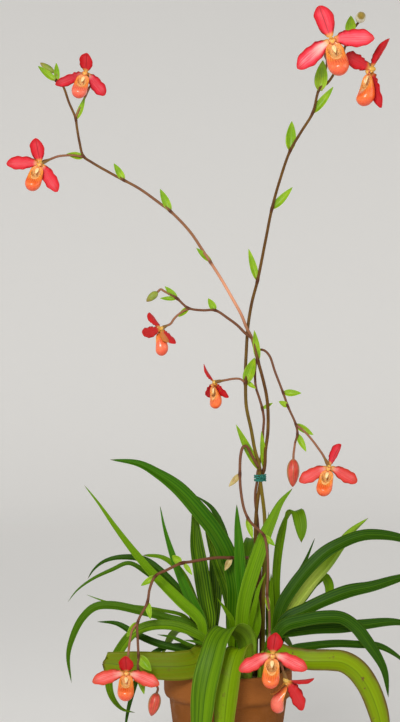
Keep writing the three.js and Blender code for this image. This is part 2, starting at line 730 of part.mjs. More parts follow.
const BLOOMS = [
  {
    spike: "spike_tall_right", at: [129.5, -92, 930], seat: [123, -74, 914], size: 1.18,
    turn: [0, 0, -12], hood: 4, lean: 9, droop: [25, 12], sweep: [4, 26],
    pedicel: [[115, -51, 869], [121, -50, 886], [124, -57, 903]],
  },
  {
    spike: "spike_tall_right", at: [180, -97, 893], seat: [178, -79, 898], size: 1.08,
    turn: [-62, 8, 0], hood: -42, droop: [-33, 77], sweep: [4, -2], reach: [1, 0.96, 1.2],
    pedicel: [[140, -49, 902], [150, -54, 907], [165, -67, 905]],
  },
  {
    spike: "spike_tall_left", at: [-178, 8, 889], seat: [-172, 20, 880], size: 0.9,
    turn: [-4, 0, 15], hood: 50, droop: [34, 30], sweep: [6, -40], twist: [50, 10, 0],
    pedicel: [[-191, 11, 832], [-185, 12, 846], [-179, 17, 858], [-174, 21, 869]],
  },
  {
    spike: "spike_tall_left", at: [-235, -20, 775], seat: [-223, -10, 780], size: 0.92,
    turn: [-8, 0, 14], hood: 26, lean: 18, droop: [10, 40], sweep: [4, 4],
    pedicel: [[-181, 5, 783], [-192, 2, 785], [-202, -1, 785], [-212, -5, 784]],
  },
  {
    spike: "spike_tall_left", at: [-84, -34, 568], seat: [-76, -30, 572], size: 0.78,
    turn: [-130, 27, 0], hood: 15, droop: [52, 8], sweep: [-6, 4], reach: [0.72, 1],
    pedicel: [[-48, -24, 593], [-56, -26, 590], [-67, -28, 581]],
  },
  {
    spike: "spike_tall_right", at: [-17, -19, 501], seat: [-6, -15, 503], size: 0.77,
    turn: [-55, 28, 0], hood: 9, droop: [40, 52], sweep: [6, -2], reach: [0.9, 0.74], twist: [45, 0, -40],
    pedicel: [[22, -5, 500], [15, -9, 505], [5, -12, 505]],
  },
  {
    spike: "spike_slender", at: [127, -58, 395], seat: [121, -50, 406], size: 0.89,
    turn: [-15, 0, 10], hood: 8, lean: -18, droop: [33, 18], sweep: [8, -28], twist: [0, 0, -45],
    pedicel: [[85, -30, 448], [96, -34, 439], [105, -39, 429], [114, -44, 417]],
  },
  {
    spike: "spike_tall_left", at: [-127, -118, 137], seat: [-125, -108, 158], size: 0.9,
    turn: [0, -24, 0], hood: 64, droop: [12, 17], sweep: [4, 4],
    pedicel: [[-113, -87, 200], [-120, -92, 190], [-123, -100, 176]],
  },
  {
    spike: "spike_tall_right", at: [56, -125, 161], seat: [52, -113, 176], size: 0.96,
    turn: [0, 0, 6], hood: 34, droop: [28, 14], sweep: [4, 4],
    pedicel: [[52, -104, 189], [52, -107, 184]],
  },
  {
    spike: "spike_tall_right", at: [73, -114, 127], seat: [69, -112, 140], size: 0.92,
    turn: [92, 43, 0], hood: 44, droop: [14, 18], sweep: [50, 56],
    pedicel: [[52, -104, 189], [56, -107, 168], [65, -110, 151]],
  },
];

// A bud hangs or stands on its seat and points at tip; girth is its widest radius.
const BUDS = [
  { spike: "spike_tall_right", seat: [164.8, -46.5, 953.6], tip: [168, -67, 962], girth: 6.4,
    finish: BUD_GREEN },
  { spike: "spike_tall_left", seat: [-218, 18, 889], tip: [-235, 22, 901], girth: 4.4, finish: BUD_GREEN,
    pedicel: [[-214, 15, 877], [-216, 17, 882]] },
  { spike: "spike_tall_left", seat: [-88, -27, 614], tip: [-102, -29, 602], girth: 4.8, finish: BUD_GREEN,
    pedicel: [[-73, -26, 611], [-80, -27, 615]] },
  { spike: "spike_slender", seat: [82, -35, 405], tip: [81, -36, 370], girth: 8, finish: BUD_RED,
    pedicel: [[84, -34, 425], [83, -35, 417]] },
  { spike: "spike_tall_left", seat: [-89, -102, 112], tip: [-96, -104, 83], girth: 7.5, finish: BUD_RED,
    pedicel: [[-94, -102, 121], [-90, -102, 121]] },
];

const PEDICEL_RADIUS = 1.5;
const PEDICEL_LEAD = 5; // the last stretch points straight at the flower

function pedicelGeometry({ pedicel, seat, at, tip }) {
  const end = place(seat);
  const lead = place(at ?? tip).sub(end).setLength(PEDICEL_LEAD);
  const points = [...pedicel.map(place), end.clone().sub(lead), end];
  return stemGeometry(points, PEDICEL_RADIUS, PEDICEL_RADIUS);
}

// A bract is a small leaf folded round its stem: three sections of left margin, keel, right margin and fold.
function bractGeometry([footPlace, tipPlace, width]) {
  const foot = place(footPlace);
  const tip = place(tipPlace);
  const along = tip.clone().sub(foot);
  const side = along.clone().cross(point(0, -1, 0.3)).normalize();
  const up = side.clone().cross(along).normalize();
  const rings = [[0, 0.35], [0.42, 1], [1, 0.1]].map(([t, share]) => {
    const middle = foot.clone().addScaledVector(along, t);
    middle.addScaledVector(up, -BRACT_BOW * along.length() * Math.sin(Math.PI * t));
    const half = (share * width) / 2;
    const corner = (across, lift) => middle.clone().addScaledVector(side, across).addScaledVector(up, lift);
    return [
      corner(half, 0.4 * half),
      corner(0, -0.3 * half - BRACT_THICKNESS / 2),
      corner(-half, 0.4 * half),
      corner(0, BRACT_THICKNESS / 2 - 0.3 * half),
    ];
  });
  return ringsGeometry(rings);
}

function spikeGeometry(name) {
  const { stems, bracts } = SPIKES[name];
  const pieces = stems.map(({ root, radii, route }) => {
    const points = route.map(place);
    if (root) {
      points.unshift(point(root[0], root[1], SPIKE_FOOT), point(root[0], root[1], MIX_TOP + 8));
    }
    return stemGeometry(points, radii[0], radii[1]);
  });
  pieces.push(...bracts.map(bractGeometry));
  for (const flower of [...BLOOMS, ...BUDS]) {
    if (flower.spike === name && flower.pedicel) {
      pieces.push(pedicelGeometry(flower));
    }
  }
  return fuse(pieces);
}

// A bloom of size 1, facing the front (-Y) with its column at the origin.
const PETAL = { length: 46, width: 19, rows: 5 };
const DORSAL = { length: 36, width: 20, rows: 4 };
const SYNSEPAL = { length: 27, width: 18, rows: 3 };

// The share of the full width at u: a narrow claw, the widest place past the middle and a pointed tip.
function petalShare(u) {
  const quarter = Math.PI / 2;
  return u < 0.58
    ? 0.28 + 0.72 * Math.sin((u / 0.58) * quarter)
    : Math.cos(((u - 0.58) / 0.42) * quarter * 0.93) ** 0.75;
}

// A petal that points along +X and faces the front: it sags with the square of u, its margins curl forward and
// the upper one is waved.
function petalNet({ length, width, rows }, sag, curl) {
  const net = [];
  for (let i = 0; i <= rows; i += 1) {
    const u = i / rows;
    const half = (petalShare(u) * width) / 2;
    const wave = 1 + 0.1 * Math.sin(9 * u);
    const x = 3 + u * (length - 3);
    const z = -sag * u * u;
    net.push([
      point(x, -curl * (half / width), z - half),
      point(x, 0, z),
      point(x, -curl * (half / width), z + half * wave),
    ]);
  }
  return net;
}

function petalGeometry(shape, { up, mirrored = false, sag = 0, curl, forward, twist = 0 }) {
  const geometry = bladeGeometry(petalNet(shape, sag, curl), PETAL_THICKNESS);
  geometry.rotateX(THREE.MathUtils.degToRad(twist));
  geometry.rotateZ(THREE.MathUtils.degToRad(-forward));
  geometry.rotateY(THREE.MathUtils.degToRad(-up));
  if (mirrored) {
    geometry.scale(-1, 1, 1);
    geometry.setIndex([...geometry.index.array].reverse());
  }
  return geometry;
}

function placeBloom(geometry, { at, turn, size }) {
  const [yaw, pitch, roll] = turn.map(THREE.MathUtils.degToRad);
  const matrix = new THREE.Matrix4().makeRotationFromEuler(new THREE.Euler(pitch, roll, yaw, "ZXY"));
  matrix.scale(point(size, size, size));
  matrix.setPosition(place(at));
  return geometry.applyMatrix4(matrix);
}

// Sepals, petals, column and staminode, with the ovary that ends just short of the pedicel.
function petalsGeometry(bloom) {
  const { lean = 0, twist = [0, 0, 0], reach = [1, 1] } = bloom;
  const dorsal = { ...DORSAL, length: DORSAL.length * (reach[2] ?? 1) };
  const side = (index, mirrored) => {
    const shape = { ...PETAL, length: PETAL.length * reach[index] };
    const form = { mirrored, sag: 3, curl: 5, forward: bloom.sweep[index], twist: twist[index] };
    return petalGeometry(shape, { ...form, up: -bloom.droop[index] });
  };
  const parts = [
    side(0, true),
    side(1, false),
    petalGeometry(dorsal, { up: 90 + lean, curl: 8, forward: bloom.hood, twist: twist[2] }),
    petalGeometry(SYNSEPAL, { up: -90, curl: 4, forward: -6 }),
    new THREE.SphereGeometry(HUB_RADIUS, 5, 3),
    new THREE.OctahedronGeometry(4.2).scale(1, 0.5, 1).translate(0, -5.5, -2.5),
  ].map((part) => placeBloom(part, bloom));
  const middle = place(bloom.at);
  const seat = place(bloom.seat);
  seat.addScaledVector(middle.clone().sub(seat).normalize(), CLEARANCE);
  parts.push(stemGeometry([seat, middle], PEDICEL_RADIUS, 2.4));
  return fuse(parts);
}

// The lip is a slipper: rings grow from the toe to a mouth that looks forward and up, and turn inside there.
function lipGeometry(bloom) {
  const outer = [[0, 0.42], [0.16, 0.8], [0.42, 1], [0.74, 0.6 + 0.42 * LIP_MOUTH], [1, LIP_MOUTH]];
  const inner = [[0.97, LIP_MOUTH - 0.15], [0.65, 0.8], [0.3, 0.72]];
  const ring = ([u, share], wall) => {
    const centre = point(0, -14 + 4.6 * u, -38 + 24 * u);
    const lean = u * u;
    const radius = share * LIP_GIRTH - wall;
    return Array.from({ length: LIP_SIDES }, (_, j) => {
      const angle = (2 * Math.PI * j) / LIP_SIDES;
      const reach = radius * Math.sin(angle);
      const forward = centre.y + reach * Math.cos(lean);
      return point(radius * Math.cos(angle), forward, centre.z + reach * Math.sin(lean));
    });
  };
  const rings = [...outer.map((step) => ring(step, 0)), ...inner.map((step) => ring(step, POUCH_WALL))];
  return placeBloom(ringsGeometry(rings), bloom);
}

function budGeometry({ seat, tip, girth }) {
  const start = place(seat);
  const axis = place(tip).sub(start);
  start.addScaledVector(axis.clone().normalize(), CLEARANCE);
  const turn = new THREE.Quaternion().setFromUnitVectors(point(0, 0, 1), axis.clone().normalize());
  const profile = [[0, 0.25], [0.12, 0.65], [0.4, 1], [0.72, 0.82], [0.95, 0.3]];
  const rings = profile.map(([t, share]) =>
    Array.from({ length: BUD_SIDES }, (_, j) => {
      const angle = (2 * Math.PI * j) / BUD_SIDES;
      const reach = share * girth;
      const spoke = point(Math.cos(angle) * reach, Math.sin(angle) * reach, t * axis.length());
      return spoke.applyQuaternion(turn).add(start);
    }),
  );
  return ringsGeometry(rings);
}

// ---------------------------------------------------------------------------------------------------------
// The whole plant

const TIE_PLACE = [40.3, -0.4, 381];

function mixWithHoles() {
  let mix = solidOf(mixGeometry());
  for (const { core } of Object.values(FANS)) {
    const hole = holeGeometry(core, CORE_RADIUS + CLEARANCE, CORE_SIDES, CORE_FOOT - CLEARANCE);
    mix = mix.subtract(solidOf(hole));
  }
  for (const { stems } of Object.values(SPIKES)) {
    const { root, radii } = stems[0];
    mix = mix.subtract(solidOf(holeGeometry(root, radii[0] + 2 * CLEARANCE, 10, SPIKE_FOOT - CLEARANCE)));
  }
  return geometryOf(mix);
}

addPiece("clay_pot", potGeometry(), TERRACOTTA);
addPiece("potting_mix", mixWithHoles(), BARK);
for (const [name, fan] of Object.entries(FANS)) {
  addPiece(name, fanGeometry(fan), LEAF_GREEN);
}
for (const name of Object.keys(SPIKES)) {
  addPiece(name, spikeGeometry(name), STEM_BROWN);
}
addPiece("plant_tie", tieGeometry().translate(...TIE_PLACE), TIE_GREEN);
BLOOMS.forEach((bloom, index) => {
  addPiece(`bloom_${index + 1}_petals`, petalsGeometry(bloom), PETAL_RED);
  addPiece(`bloom_${index + 1}_lip`, lipGeometry(bloom), LIP_ORANGE);
});
BUDS.forEach((bud, index) => addPiece(`bud_${index + 1}`, budGeometry(bud), bud.finish));

export default orchid;
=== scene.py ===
"""A slipper orchid in a clay pot: leaf fans, three flower spikes, ten blooms and five buds.

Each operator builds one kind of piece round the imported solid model. Tables are in millimetres and in the
solid model's frame: +Z up, the origin at the centre of the pot's foot, the front towards -Y.
"""

import bpy
import numpy as np
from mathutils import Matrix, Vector


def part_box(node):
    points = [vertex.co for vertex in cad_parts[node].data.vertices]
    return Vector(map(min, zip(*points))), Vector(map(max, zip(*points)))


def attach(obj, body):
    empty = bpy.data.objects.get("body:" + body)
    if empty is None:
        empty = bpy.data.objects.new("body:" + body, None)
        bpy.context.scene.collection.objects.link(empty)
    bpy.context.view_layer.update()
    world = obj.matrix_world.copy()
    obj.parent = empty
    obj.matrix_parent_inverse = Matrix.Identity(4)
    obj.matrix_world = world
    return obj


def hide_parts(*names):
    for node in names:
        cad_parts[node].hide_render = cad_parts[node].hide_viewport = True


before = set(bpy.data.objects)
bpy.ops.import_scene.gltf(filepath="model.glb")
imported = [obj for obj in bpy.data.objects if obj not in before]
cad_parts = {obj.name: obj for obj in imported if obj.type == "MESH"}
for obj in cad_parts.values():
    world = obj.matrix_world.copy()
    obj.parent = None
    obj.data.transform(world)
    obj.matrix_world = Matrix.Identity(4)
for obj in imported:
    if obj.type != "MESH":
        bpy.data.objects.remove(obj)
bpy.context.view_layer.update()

bl_info = {
    "name": "Potted slipper orchid",
    "version": (1, 0, 0),
    "blender": (4, 5, 0),
    "location": "3D View > Sidebar > Orchid",
    "description": "Builds the visible surfaces of a potted slipper orchid",
    "category": "Add Mesh",
}

MM = 0.001
ROOT_BODY = "root"
POT_LOW, POT_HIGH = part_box("clay_pot")

# ---- Layout
# Points of leaves, stems and blooms are read off a front elevation: x and z are where the line from
# EYE to the point meets the plane y = 0, and y is the point's own depth along that line.

EYE = np.array((-35.0, -1900.0, 527.5))


def place(points):
    """Moves elevation points along their lines of sight: EYE + (p - EYE) * (y - EYE.y) / -EYE.y, y kept."""
    points = np.asarray(points, float)
    share = (points[..., 1:2] - EYE[1]) / -EYE[1]
    moved = EYE + (points - EYE) * share
    moved[..., 1] = points[..., 1]
    return moved


# ---- Tables of the plant


def leaf(width, look, *route, face=0, across=None, across_end=None, taper=0.55, blunt=0.05):
    """A leaf: its width, its kind and the seen points of its midrib. The blade faces the sky, turned to the
    front by face degrees, or its width runs across, at a twisted tip across_end. It tapers from the share
    taper of its length, and blunt is the share of its width at the end."""
    facing = {"face": face, "across": across, "across_end": across_end or across}
    return {"width": width, "look": look, "route": route, "taper": taper, "blunt": blunt, **facing}


def fan(core, *leaves):
    """A growth: the place (x, y) of its short stem, and its leaves."""
    return {"core": core, "leaves": leaves}


def stem(radii, *route, root=None):
    """A stem: its first and last radius, its seen points and, if it grows from the soil, its root (x, y)."""
    return {"radii": radii, "route": route, "root": root}


def bracts(*places):
    """Bracts, each (foot x, y, z, tip x, y, z, width), with its dry share as an eighth number if it dried."""
    return [{"foot": p[:3], "tip": p[3:6], "width": p[6], "dry": p[7] if len(p) > 7 else 0} for p in places]


def opened(red=0, dark=0.55, gold=0, blush=0, pale=None, lean=0, twist=(0, 0, 0), reach=(1, 1), **form):
    """A bloom on its spike: how red its petals, how dark its dorsal sepal, how gold its skin, how pink its
    pouch and how pale its petals are, at the claw and in the streaks of painted highlight. lean, twist and
    reach set its sepal's lean, the turn of each petal and of the sepal about its length, and their share of
    the usual length. form holds what every bloom has."""
    pale = pale or (0.75 - 0.6 * red, 0.75 - 0.6 * red)
    looks = {"red": red, "dark": dark, "gold": gold, "blush": blush, "pale": pale}
    return {**form, **looks, "lean": lean, "twist": twist, "reach": (*reach, 1)[:3]}


def spike(bract_rows, *stems):
    """A flower spike: its bracts and its stems."""
    return {"bracts": bract_rows, "stems": stems}


# The tint of each kind of leaf: light share, yellow share (below 0: pure green), pale stripes, brown wear.
# The light share is partly the leaf's own green and partly painted light and shade: it paints a leaf
# deep green where it stood in shade and fresh green where light fell on it.
LEAF_LOOKS = {
    "plain": (0.28, 0, 0.3, 0),
    "fresh": (0.72, 0.04, 0.3, 0),
    "light": (0.6, 0.04, 0.3, 0),
    "mid": (0.3, -0.8, 0.35, 0),
    "mid_deep": (0.12, -0.55, 0.45, 0),
    "deep": (0.05, 0, 0.3, 0),
    "banded": (0.55, 0.08, 0.9, 0),
    "striped": (0.08, 0, 1.1, 0),
    "olive": (0.3, 0.56, 0.12, 0.25),
    "worn": (0.8, 0.5, 0.1, 1),
    # the pale kind: its light share of 1 also paints a white-green sheen low on its blade
    "pale": (1, 0.1, 0.25, 0),
    "over_rim": (0.54, 0.04, 0.8, 0),
    "turning": (0.9, 0.3, 0.1, 0.35),
}
RIGHT, LEFT, SLENDER = "spike_tall_right", "spike_tall_left", "spike_slender"
# The tint of a spike's skin: red share, pale share, green share. On the spikes the pale share is a painted
# highlight, pink on one stretch past the middle where light fell on the stem. Thin branches and knots
# have their own, and on pedicels and thin branches the pale share is their own paler skin.
SPIKE_TINTS = {RIGHT: (0.2, 0, 0.5), LEFT: (0.45, 0.9, 0.1), SLENDER: (0.75, 0.05, 0.05)}
PEDICEL_TINT = (0.55, 0.3, 0)
THIN_TINT = (0.7, 0.12, 0)
KNOT_TINT = (1, 0, 0)

FANS = {
    "leaf_fan_front": fan(
        (22, -50),
        leaf(34, "over_rim", (22, -58, 176), (12, -70, 188), (0, -82, 191), (-11, -95, 179),
             (-20, -108, 151), (-28, -116, 116), (-32, -120, 76), (-35, -122, 39), (-36, -121, 1),
             across=(-1, 0.3, -0.2)),
        leaf(30, "turning", (21, -62, 159), (18, -74, 166), (12, -86, 164), (5, -97, 144), (0, -104, 114),
             (-4, -108, 76), (-5, -110, 44), (-4, -110, 14), across=(-1, 0.3, -0.2)),
    ),
    "leaf_fan_left_front": fan(
        (-26, -36),
        leaf(36, "olive", (-29, -50, 158), (-39, -60, 149), (-60, -66, 145), (-91, -67, 145),
             (-122, -67, 146), (-156, -67, 149), face=66, blunt=0.75),
        leaf(7, "plain", (-28, -56, 169), (-40, -61, 175), (-55, -64, 178), face=50),
        leaf(6, "plain", (-31, -42, 164), (-50, -43, 172), (-70, -43, 181), (-89, -43, 185), face=55),
        leaf(7, "deep", (-48, -14, 169), (-72, -14, 170), (-95, -16, 160), (-110, -19, 139),
             (-120, -22, 110), (-126, -24, 85), (-130, -25, 54), face=60),
        leaf(11, "deep", (-35, -26, 160), (-60, -25, 166), (-91, -23, 174), (-116, -20, 185),
             (-139, -17, 198), (-164, -15, 201), face=50),
        leaf(14, "banded", (-28, -48, 176), (-48, -51, 189), (-72, -52, 196), (-98, -52, 195),
             (-118, -50, 186), (-132, -47, 170), (-145, -44, 145), (-149, -42, 122), (-144, -42, 104),
             (-132, -43, 91), (-116, -44, 87), face=55),
        leaf(17, "fresh", (-35, -36, 201), (-60, -37, 226), (-89, -38, 255), (-116, -40, 286),
             (-141, -42, 319), (-162, -44, 349), (-180, -46, 372), face=60, taper=0.2),
        leaf(15, "mid", (-31, -28, 196), (-48, -25, 231), (-61, -23, 261), (-72, -22, 292),
             (-80, -21, 320), (-85, -20, 346), face=62, taper=0.3),
    ),
    "leaf_fan_left": fan(
        (-30, 8),
        leaf(12, "plain", (-45, -4, 194), (-79, -5, 206), (-110, -6, 214), (-145, -7, 221),
             (-166, -8, 219), (-182, -8, 205), (-194, -7, 182), (-200, -6, 158), (-196, -6, 124), face=58),
        leaf(6, "light", (-52, 6, 205), (-85, 6, 215), (-122, 6, 220), (-150, 5, 225), (-178, 5, 235),
             face=50),
        leaf(7, "plain", (-54, 16, 225), (-79, 18, 244), (-101, 18, 261), (-124, 18, 274), (-145, 16, 266),
             (-170, 14, 254), (-189, 12, 240), (-201, 12, 225), face=50),
        leaf(11, "deep", (-51, 26, 225), (-65, 28, 244), (-85, 30, 264), (-106, 32, 278), (-135, 32, 281),
             (-155, 32, 276), (-168, 32, 266), (-176, 32, 254), face=50),
        leaf(10, "fresh", (-45, 36, 235), (-62, 40, 266), (-82, 42, 281), (-105, 44, 284),
             face=50, blunt=0.4),
        leaf(22, "striped", (-24, 4, 201), (-28, 6, 229), (-34, 9, 266), (-39, 13, 298), (-41, 17, 322),
             (-44, 21, 348), face=75),
    ),
    "leaf_fan_centre_left": fan(
        (6, 20),
        leaf(8, "fresh", (5, -2, 201), (-2, -4, 214), (-14, -6, 231), face=60),
        leaf(24, "mid_deep", (10, 5, 239), (1, 3, 279), (-16, -1, 312), (-38, -7, 340), (-62, -12, 366),
             (-88, -17, 385), (-112, -21, 398), (-148, -25, 404), face=55),
        leaf(20, "striped", (6, 14, 214), (-2, 18, 248), (-14, 22, 281), (-24, 27, 314), (-31, 32, 339),
             face=60),
        leaf(12, "deep", (6, 26, 241), (1, 31, 279), (-8, 36, 319), (-21, 40, 344), (-42, 44, 360),
             face=55),
    ),
    "leaf_fan_centre": fan(
        (20, -14),
        leaf(19, "fresh", (18, -28, 204), (22, -30, 231), (30, -30, 260), (38, -29, 284), (46, -27, 308),
             (56, -24, 330), (66, -21, 350), (81, -18, 368), face=65),
        leaf(7, "fresh", (34, -40, 224), (39, -43, 244), (48, -45, 264), face=65),
        leaf(11, "fresh", (36, -26, 194), (36, -25, 221), (35, -23, 246), face=75),
        leaf(10, "plain", (28, -16, 222), (28, -16, 256), (30, -15, 285), (41, -14, 312), face=70),
        leaf(15, "mid", (19, -18, 229), (16, -18, 260), (14, -17, 294), (12, -15, 322), (11, -13, 348),
             face=80),
    ),
    "leaf_fan_right_back": fan(
        (50, 26),
        leaf(14, "fresh", (80, 40, 214), (94, 46, 232), (108, 50, 250), (119, 52, 257), (126, 53, 248),
             (127, 53, 228), face=62, taper=0.8, blunt=0.6),
        leaf(13, "deep", (68, 32, 226), (79, 34, 245), (89, 36, 261), (98, 37, 279), (109, 38, 306),
             face=60, taper=0.4),
        leaf(18, "light", (60, 40, 229), (61, 44, 262), (65, 48, 296), (71, 50, 322), (79, 44, 337),
             (86, 36, 339), (91, 27, 322), (92, 23, 300),
             across=(0, -1, 0), across_end=(-1, 0, 0), taper=0.88),
        leaf(11, "light", (60, 22, 214), (60, 20, 248), (62, 18, 279), (66, 17, 306), (75, 15, 340),
             face=70, taper=0.8),
        leaf(9, "fresh", (54, 16, 201), (54, 15, 229), (54, 14, 262), face=75),
        leaf(6, "plain", (50, 21, 229), (49, 20, 279), (49, 19, 310), (51, 18, 339), face=70),
    ),
    "leaf_fan_right": fan(
        (54, -6),
        leaf(20, "deep", (74, -16, 202), (98, -18, 215), (125, -17, 228), (152, -15, 238), (180, -13, 244),
             (215, -10, 255), (252, -8, 264), face=45),
        # the pale leaf, with a painted sheen low on its blade
        leaf(23, "pale", (71, -2, 201), (86, 6, 224), (104, 13, 248), (124, 19, 271), (141, 23, 294),
             (156, 26, 314), (176, 28, 331), face=-58),
        leaf(18, "deep", (66, -4, 216), (81, -2, 242), (101, 0, 267), (122, 2, 287), (145, 4, 300),
             (168, 6, 308), (190, 9, 309), (218, 12, 304), (246, 16, 291), (274, 20, 272), face=50),
    ),
    "leaf_fan_right_front": fan(
        (42, -38),
        leaf(30, "worn", (60, -50, 162), (78, -60, 155), (100, -66, 151), (125, -68, 151), (144, -68, 149),
             (159, -68, 140), (172, -68, 124), (182, -68, 104), (190, -68, 79), (194, -68, 48),
             (195, -68, 10), face=55),
        leaf(13, "deep", (78, -44, 164), (102, -40, 169), (134, -34, 172), (162, -28, 171),
             (190, -23, 169), (215, -20, 155), (230, -18, 139), face=45),
        leaf(18, "deep", (59, -48, 182), (80, -40, 186), (109, -32, 190), (140, -26, 192), (171, -22, 196),
             (209, -18, 200), (246, -15, 194), face=45),
        leaf(18, "deep", (70, -46, 194), (95, -46, 202), (121, -45, 206), (142, -44, 205), (159, -43, 194),
             (172, -42, 178), (186, -41, 158), (196, -40, 138), (201, -40, 106), face=55),
    ),
    "leaf_fan_back_left": fan(
        (-22, 44),
        leaf(18, "plain", (-40, 72, 178), (-62, 104, 188), (-84, 130, 158), across=(1, 0.5, 0)),
        leaf(22, "deep", (-24, 66, 205), (-24, 98, 240), (-24, 128, 232), (-24, 146, 196),
             across=(1, 0, 0)),
        leaf(20, "striped", (-16, 58, 240), (-14, 74, 290), (-12, 98, 325), (-10, 124, 334),
             across=(1, 0, 0)),
    ),
    "leaf_fan_back_right": fan(
        (14, 50),
        leaf(20, "deep", (32, 72, 176), (58, 98, 186), (84, 124, 164), across=(1, -0.7, 0)),
        leaf(22, "plain", (20, 72, 208), (26, 102, 240), (32, 130, 224), (36, 146, 186), across=(1, 0, 0)),
        leaf(18, "plain", (20, 60, 240), (24, 78, 285), (28, 104, 305), (32, 130, 296), across=(1, 0, 0)),
    ),
}

SPIKES = {
    RIGHT: spike(
        bracts((39, -5, 391, 10, -22, 448, 10), (22, -5, 500, 33, -18, 531, 14),
               (23, -4, 502, 35, -9, 493, 6), (37, 2, 628, 26, -4, 668, 9),
               (55, -14, 718, 81, -18, 745, 10), (78, -34, 791, 80, -41, 828, 13),
               (106, -48, 838, 132, -53, 871, 10), (115, -53, 866, 119, -68, 904, 16),
               (153, -46, 938, 154, -62, 960, 13), (15, -24, 386, 1, -30, 370, 7.5, 0.9),
               (24, -40, 330, 31, -47, 305, 7.5), (45, -58, 309, 59, -62, 296, 7.5),
               (49, -85, 234, 51, -95, 214, 6)),
        stem((2.6, 1.5), (45, 2, 279), (46, 0, 330), (42, -3, 366), (40, -3.5, 381), (39, -5, 398),
             (34, -7, 415), (29, -9, 442), (23, -8, 471), (22, -5, 500), (22, -2, 518), (23, 2, 539),
             (25, 6, 570), (30, 6, 601), (37, 2, 628), (47, -6, 678), (55, -14, 718), (65, -24, 754),
             (78, -34, 791), (92, -42, 815), (106, -48, 838), (115, -52, 869), (124, -52, 875),
             (132, -51, 886), (141, -48, 906), (150, -45, 929), (157, -44, 943), (164.6, -45.5, 953),
             root=(44, 4)),
        stem((1.9, 1.5), (38, -6, 395), (30, -11, 409), (23, -15, 421), (19, -17, 420), (16, -19, 410),
             (15, -24, 385), (16, -28, 366), (20, -34, 343), (26, -41, 329), (35, -50, 319),
             (45, -58, 309), (49, -65, 290), (50, -74, 261), (49, -85, 235), (51, -91, 221),
             (52, -99, 201), (52, -106, 186)),
    ),
    LEFT: spike(
        bracts((46, 1, 390, 42, -9, 440, 7.5), (38, -9, 528, 33, -17, 566, 9),
               (-21, -8, 652, -40, -13, 669, 7.5), (-72, -5, 715, -85, -10, 743, 10),
               (-130, 1, 754, -143, -4, 775, 9), (-181, 5, 783, -202, -2, 787, 10),
               (-190, 11, 830, -179, 6, 858, 7.5), (-216, 15, 879, -238, 4, 897, 9),
               (-214, 15, 878, -215, 11, 901, 7.5), (-16, -20, 591, -25, -24, 606, 9),
               (-50, -24, 594, -62, -29, 583, 7.5), (-64, -25, 606, -79, -29, 621, 8),
               (-64, -25, 606, -85, -30, 606, 6), (4, -10, 281, -4, -16, 265, 7.5, 0.9),
               (-59, -50, 274, -70, -54, 284, 10), (-55, -48, 274, -45, -54, 260, 6),
               (-91, -68, 258, -109, -73, 246, 7.5), (-101, -79, 226, -97, -86, 204, 7.5),
               (-113, -87, 200, -127, -93, 182, 9), (-112, -98, 158, -96, -103, 139, 12),
               (-112, -101, 140, -105, -105, 110, 9)),
        stem((2.5, 1.5), (37, 7, 260), (35, 6, 281), (35, 5, 330), (39, 3, 366), (42, 2, 381),
             (46, 1, 396), (47, 0, 415), (50, -2, 439), (50, -4, 468), (48, -6, 486), (43, -8, 508),
             (38, -9, 526), (34, -9, 541), (30, -9, 556), (23, -9, 570), (17, -8, 585), (6, -8, 605),
             (-9, -8, 631), (-31, -8, 665), (-48, -7, 690), (-72, -5, 715), (-84, -4, 724),
             (-112, -1, 744), (-142, 2, 760), (-170, 4, 776), (-181, 5, 784), (-186, 8, 802),
             (-189, 10, 819), (-191, 11, 832), (-199, 13, 851), (-208, 14, 874), (-216, 15, 879),
             root=(35, 8)),
        stem((1.8, 1.4), (30, -9, 556), (22, -12, 562), (12, -16, 572), (0, -18, 581), (-16, -20, 591),
             (-32, -22, 591), (-50, -24, 594), (-64, -25, 606), (-75, -26, 612)),
        stem((2, 1.4), (35, 6, 281), (25, 3, 281), (15, -3, 281), (4, -10, 281), (-16, -22, 281),
             (-47, -42, 276), (-59, -50, 274), (-76, -60, 266), (-91, -68, 258), (-98, -73, 242),
             (-101, -79, 225), (-113, -87, 200), (-113, -93, 179), (-112, -98, 158), (-112, -101, 140),
             (-102, -102, 128), (-94, -102, 121)),
    ),
    SLENDER: spike(
        bracts((43, 5, 468, 56, 1, 475, 5), (69, -15, 488, 92, -20, 487, 9),
               (75, -20, 471, 64, -24, 477, 7.5), (85, -30, 448, 107, -37, 435, 9),
               (87, -33, 436, 98, -38, 414, 8)),
        stem((2, 1.4), (40, 13, 279), (37, 11, 329), (34.4, 8.2, 350), (34.5, 5, 364), (36.3, 1, 376),
             (36.8, 0.4, 386), (40, 5, 401), (43, 7, 416), (44, 7, 439), (45, 6, 455), (43, 5, 468),
             (39, 4, 482), (35, 4, 495), (34, 4, 515), (36, 3, 531), (39, 1, 541), (45, -2, 541),
             (52, -4, 534), (59, -9, 514), (69, -15, 488), (75, -20, 471), (85, -30, 448), (87, -33, 436),
             (84, -34, 425), root=(42, 17)),
    ),
}

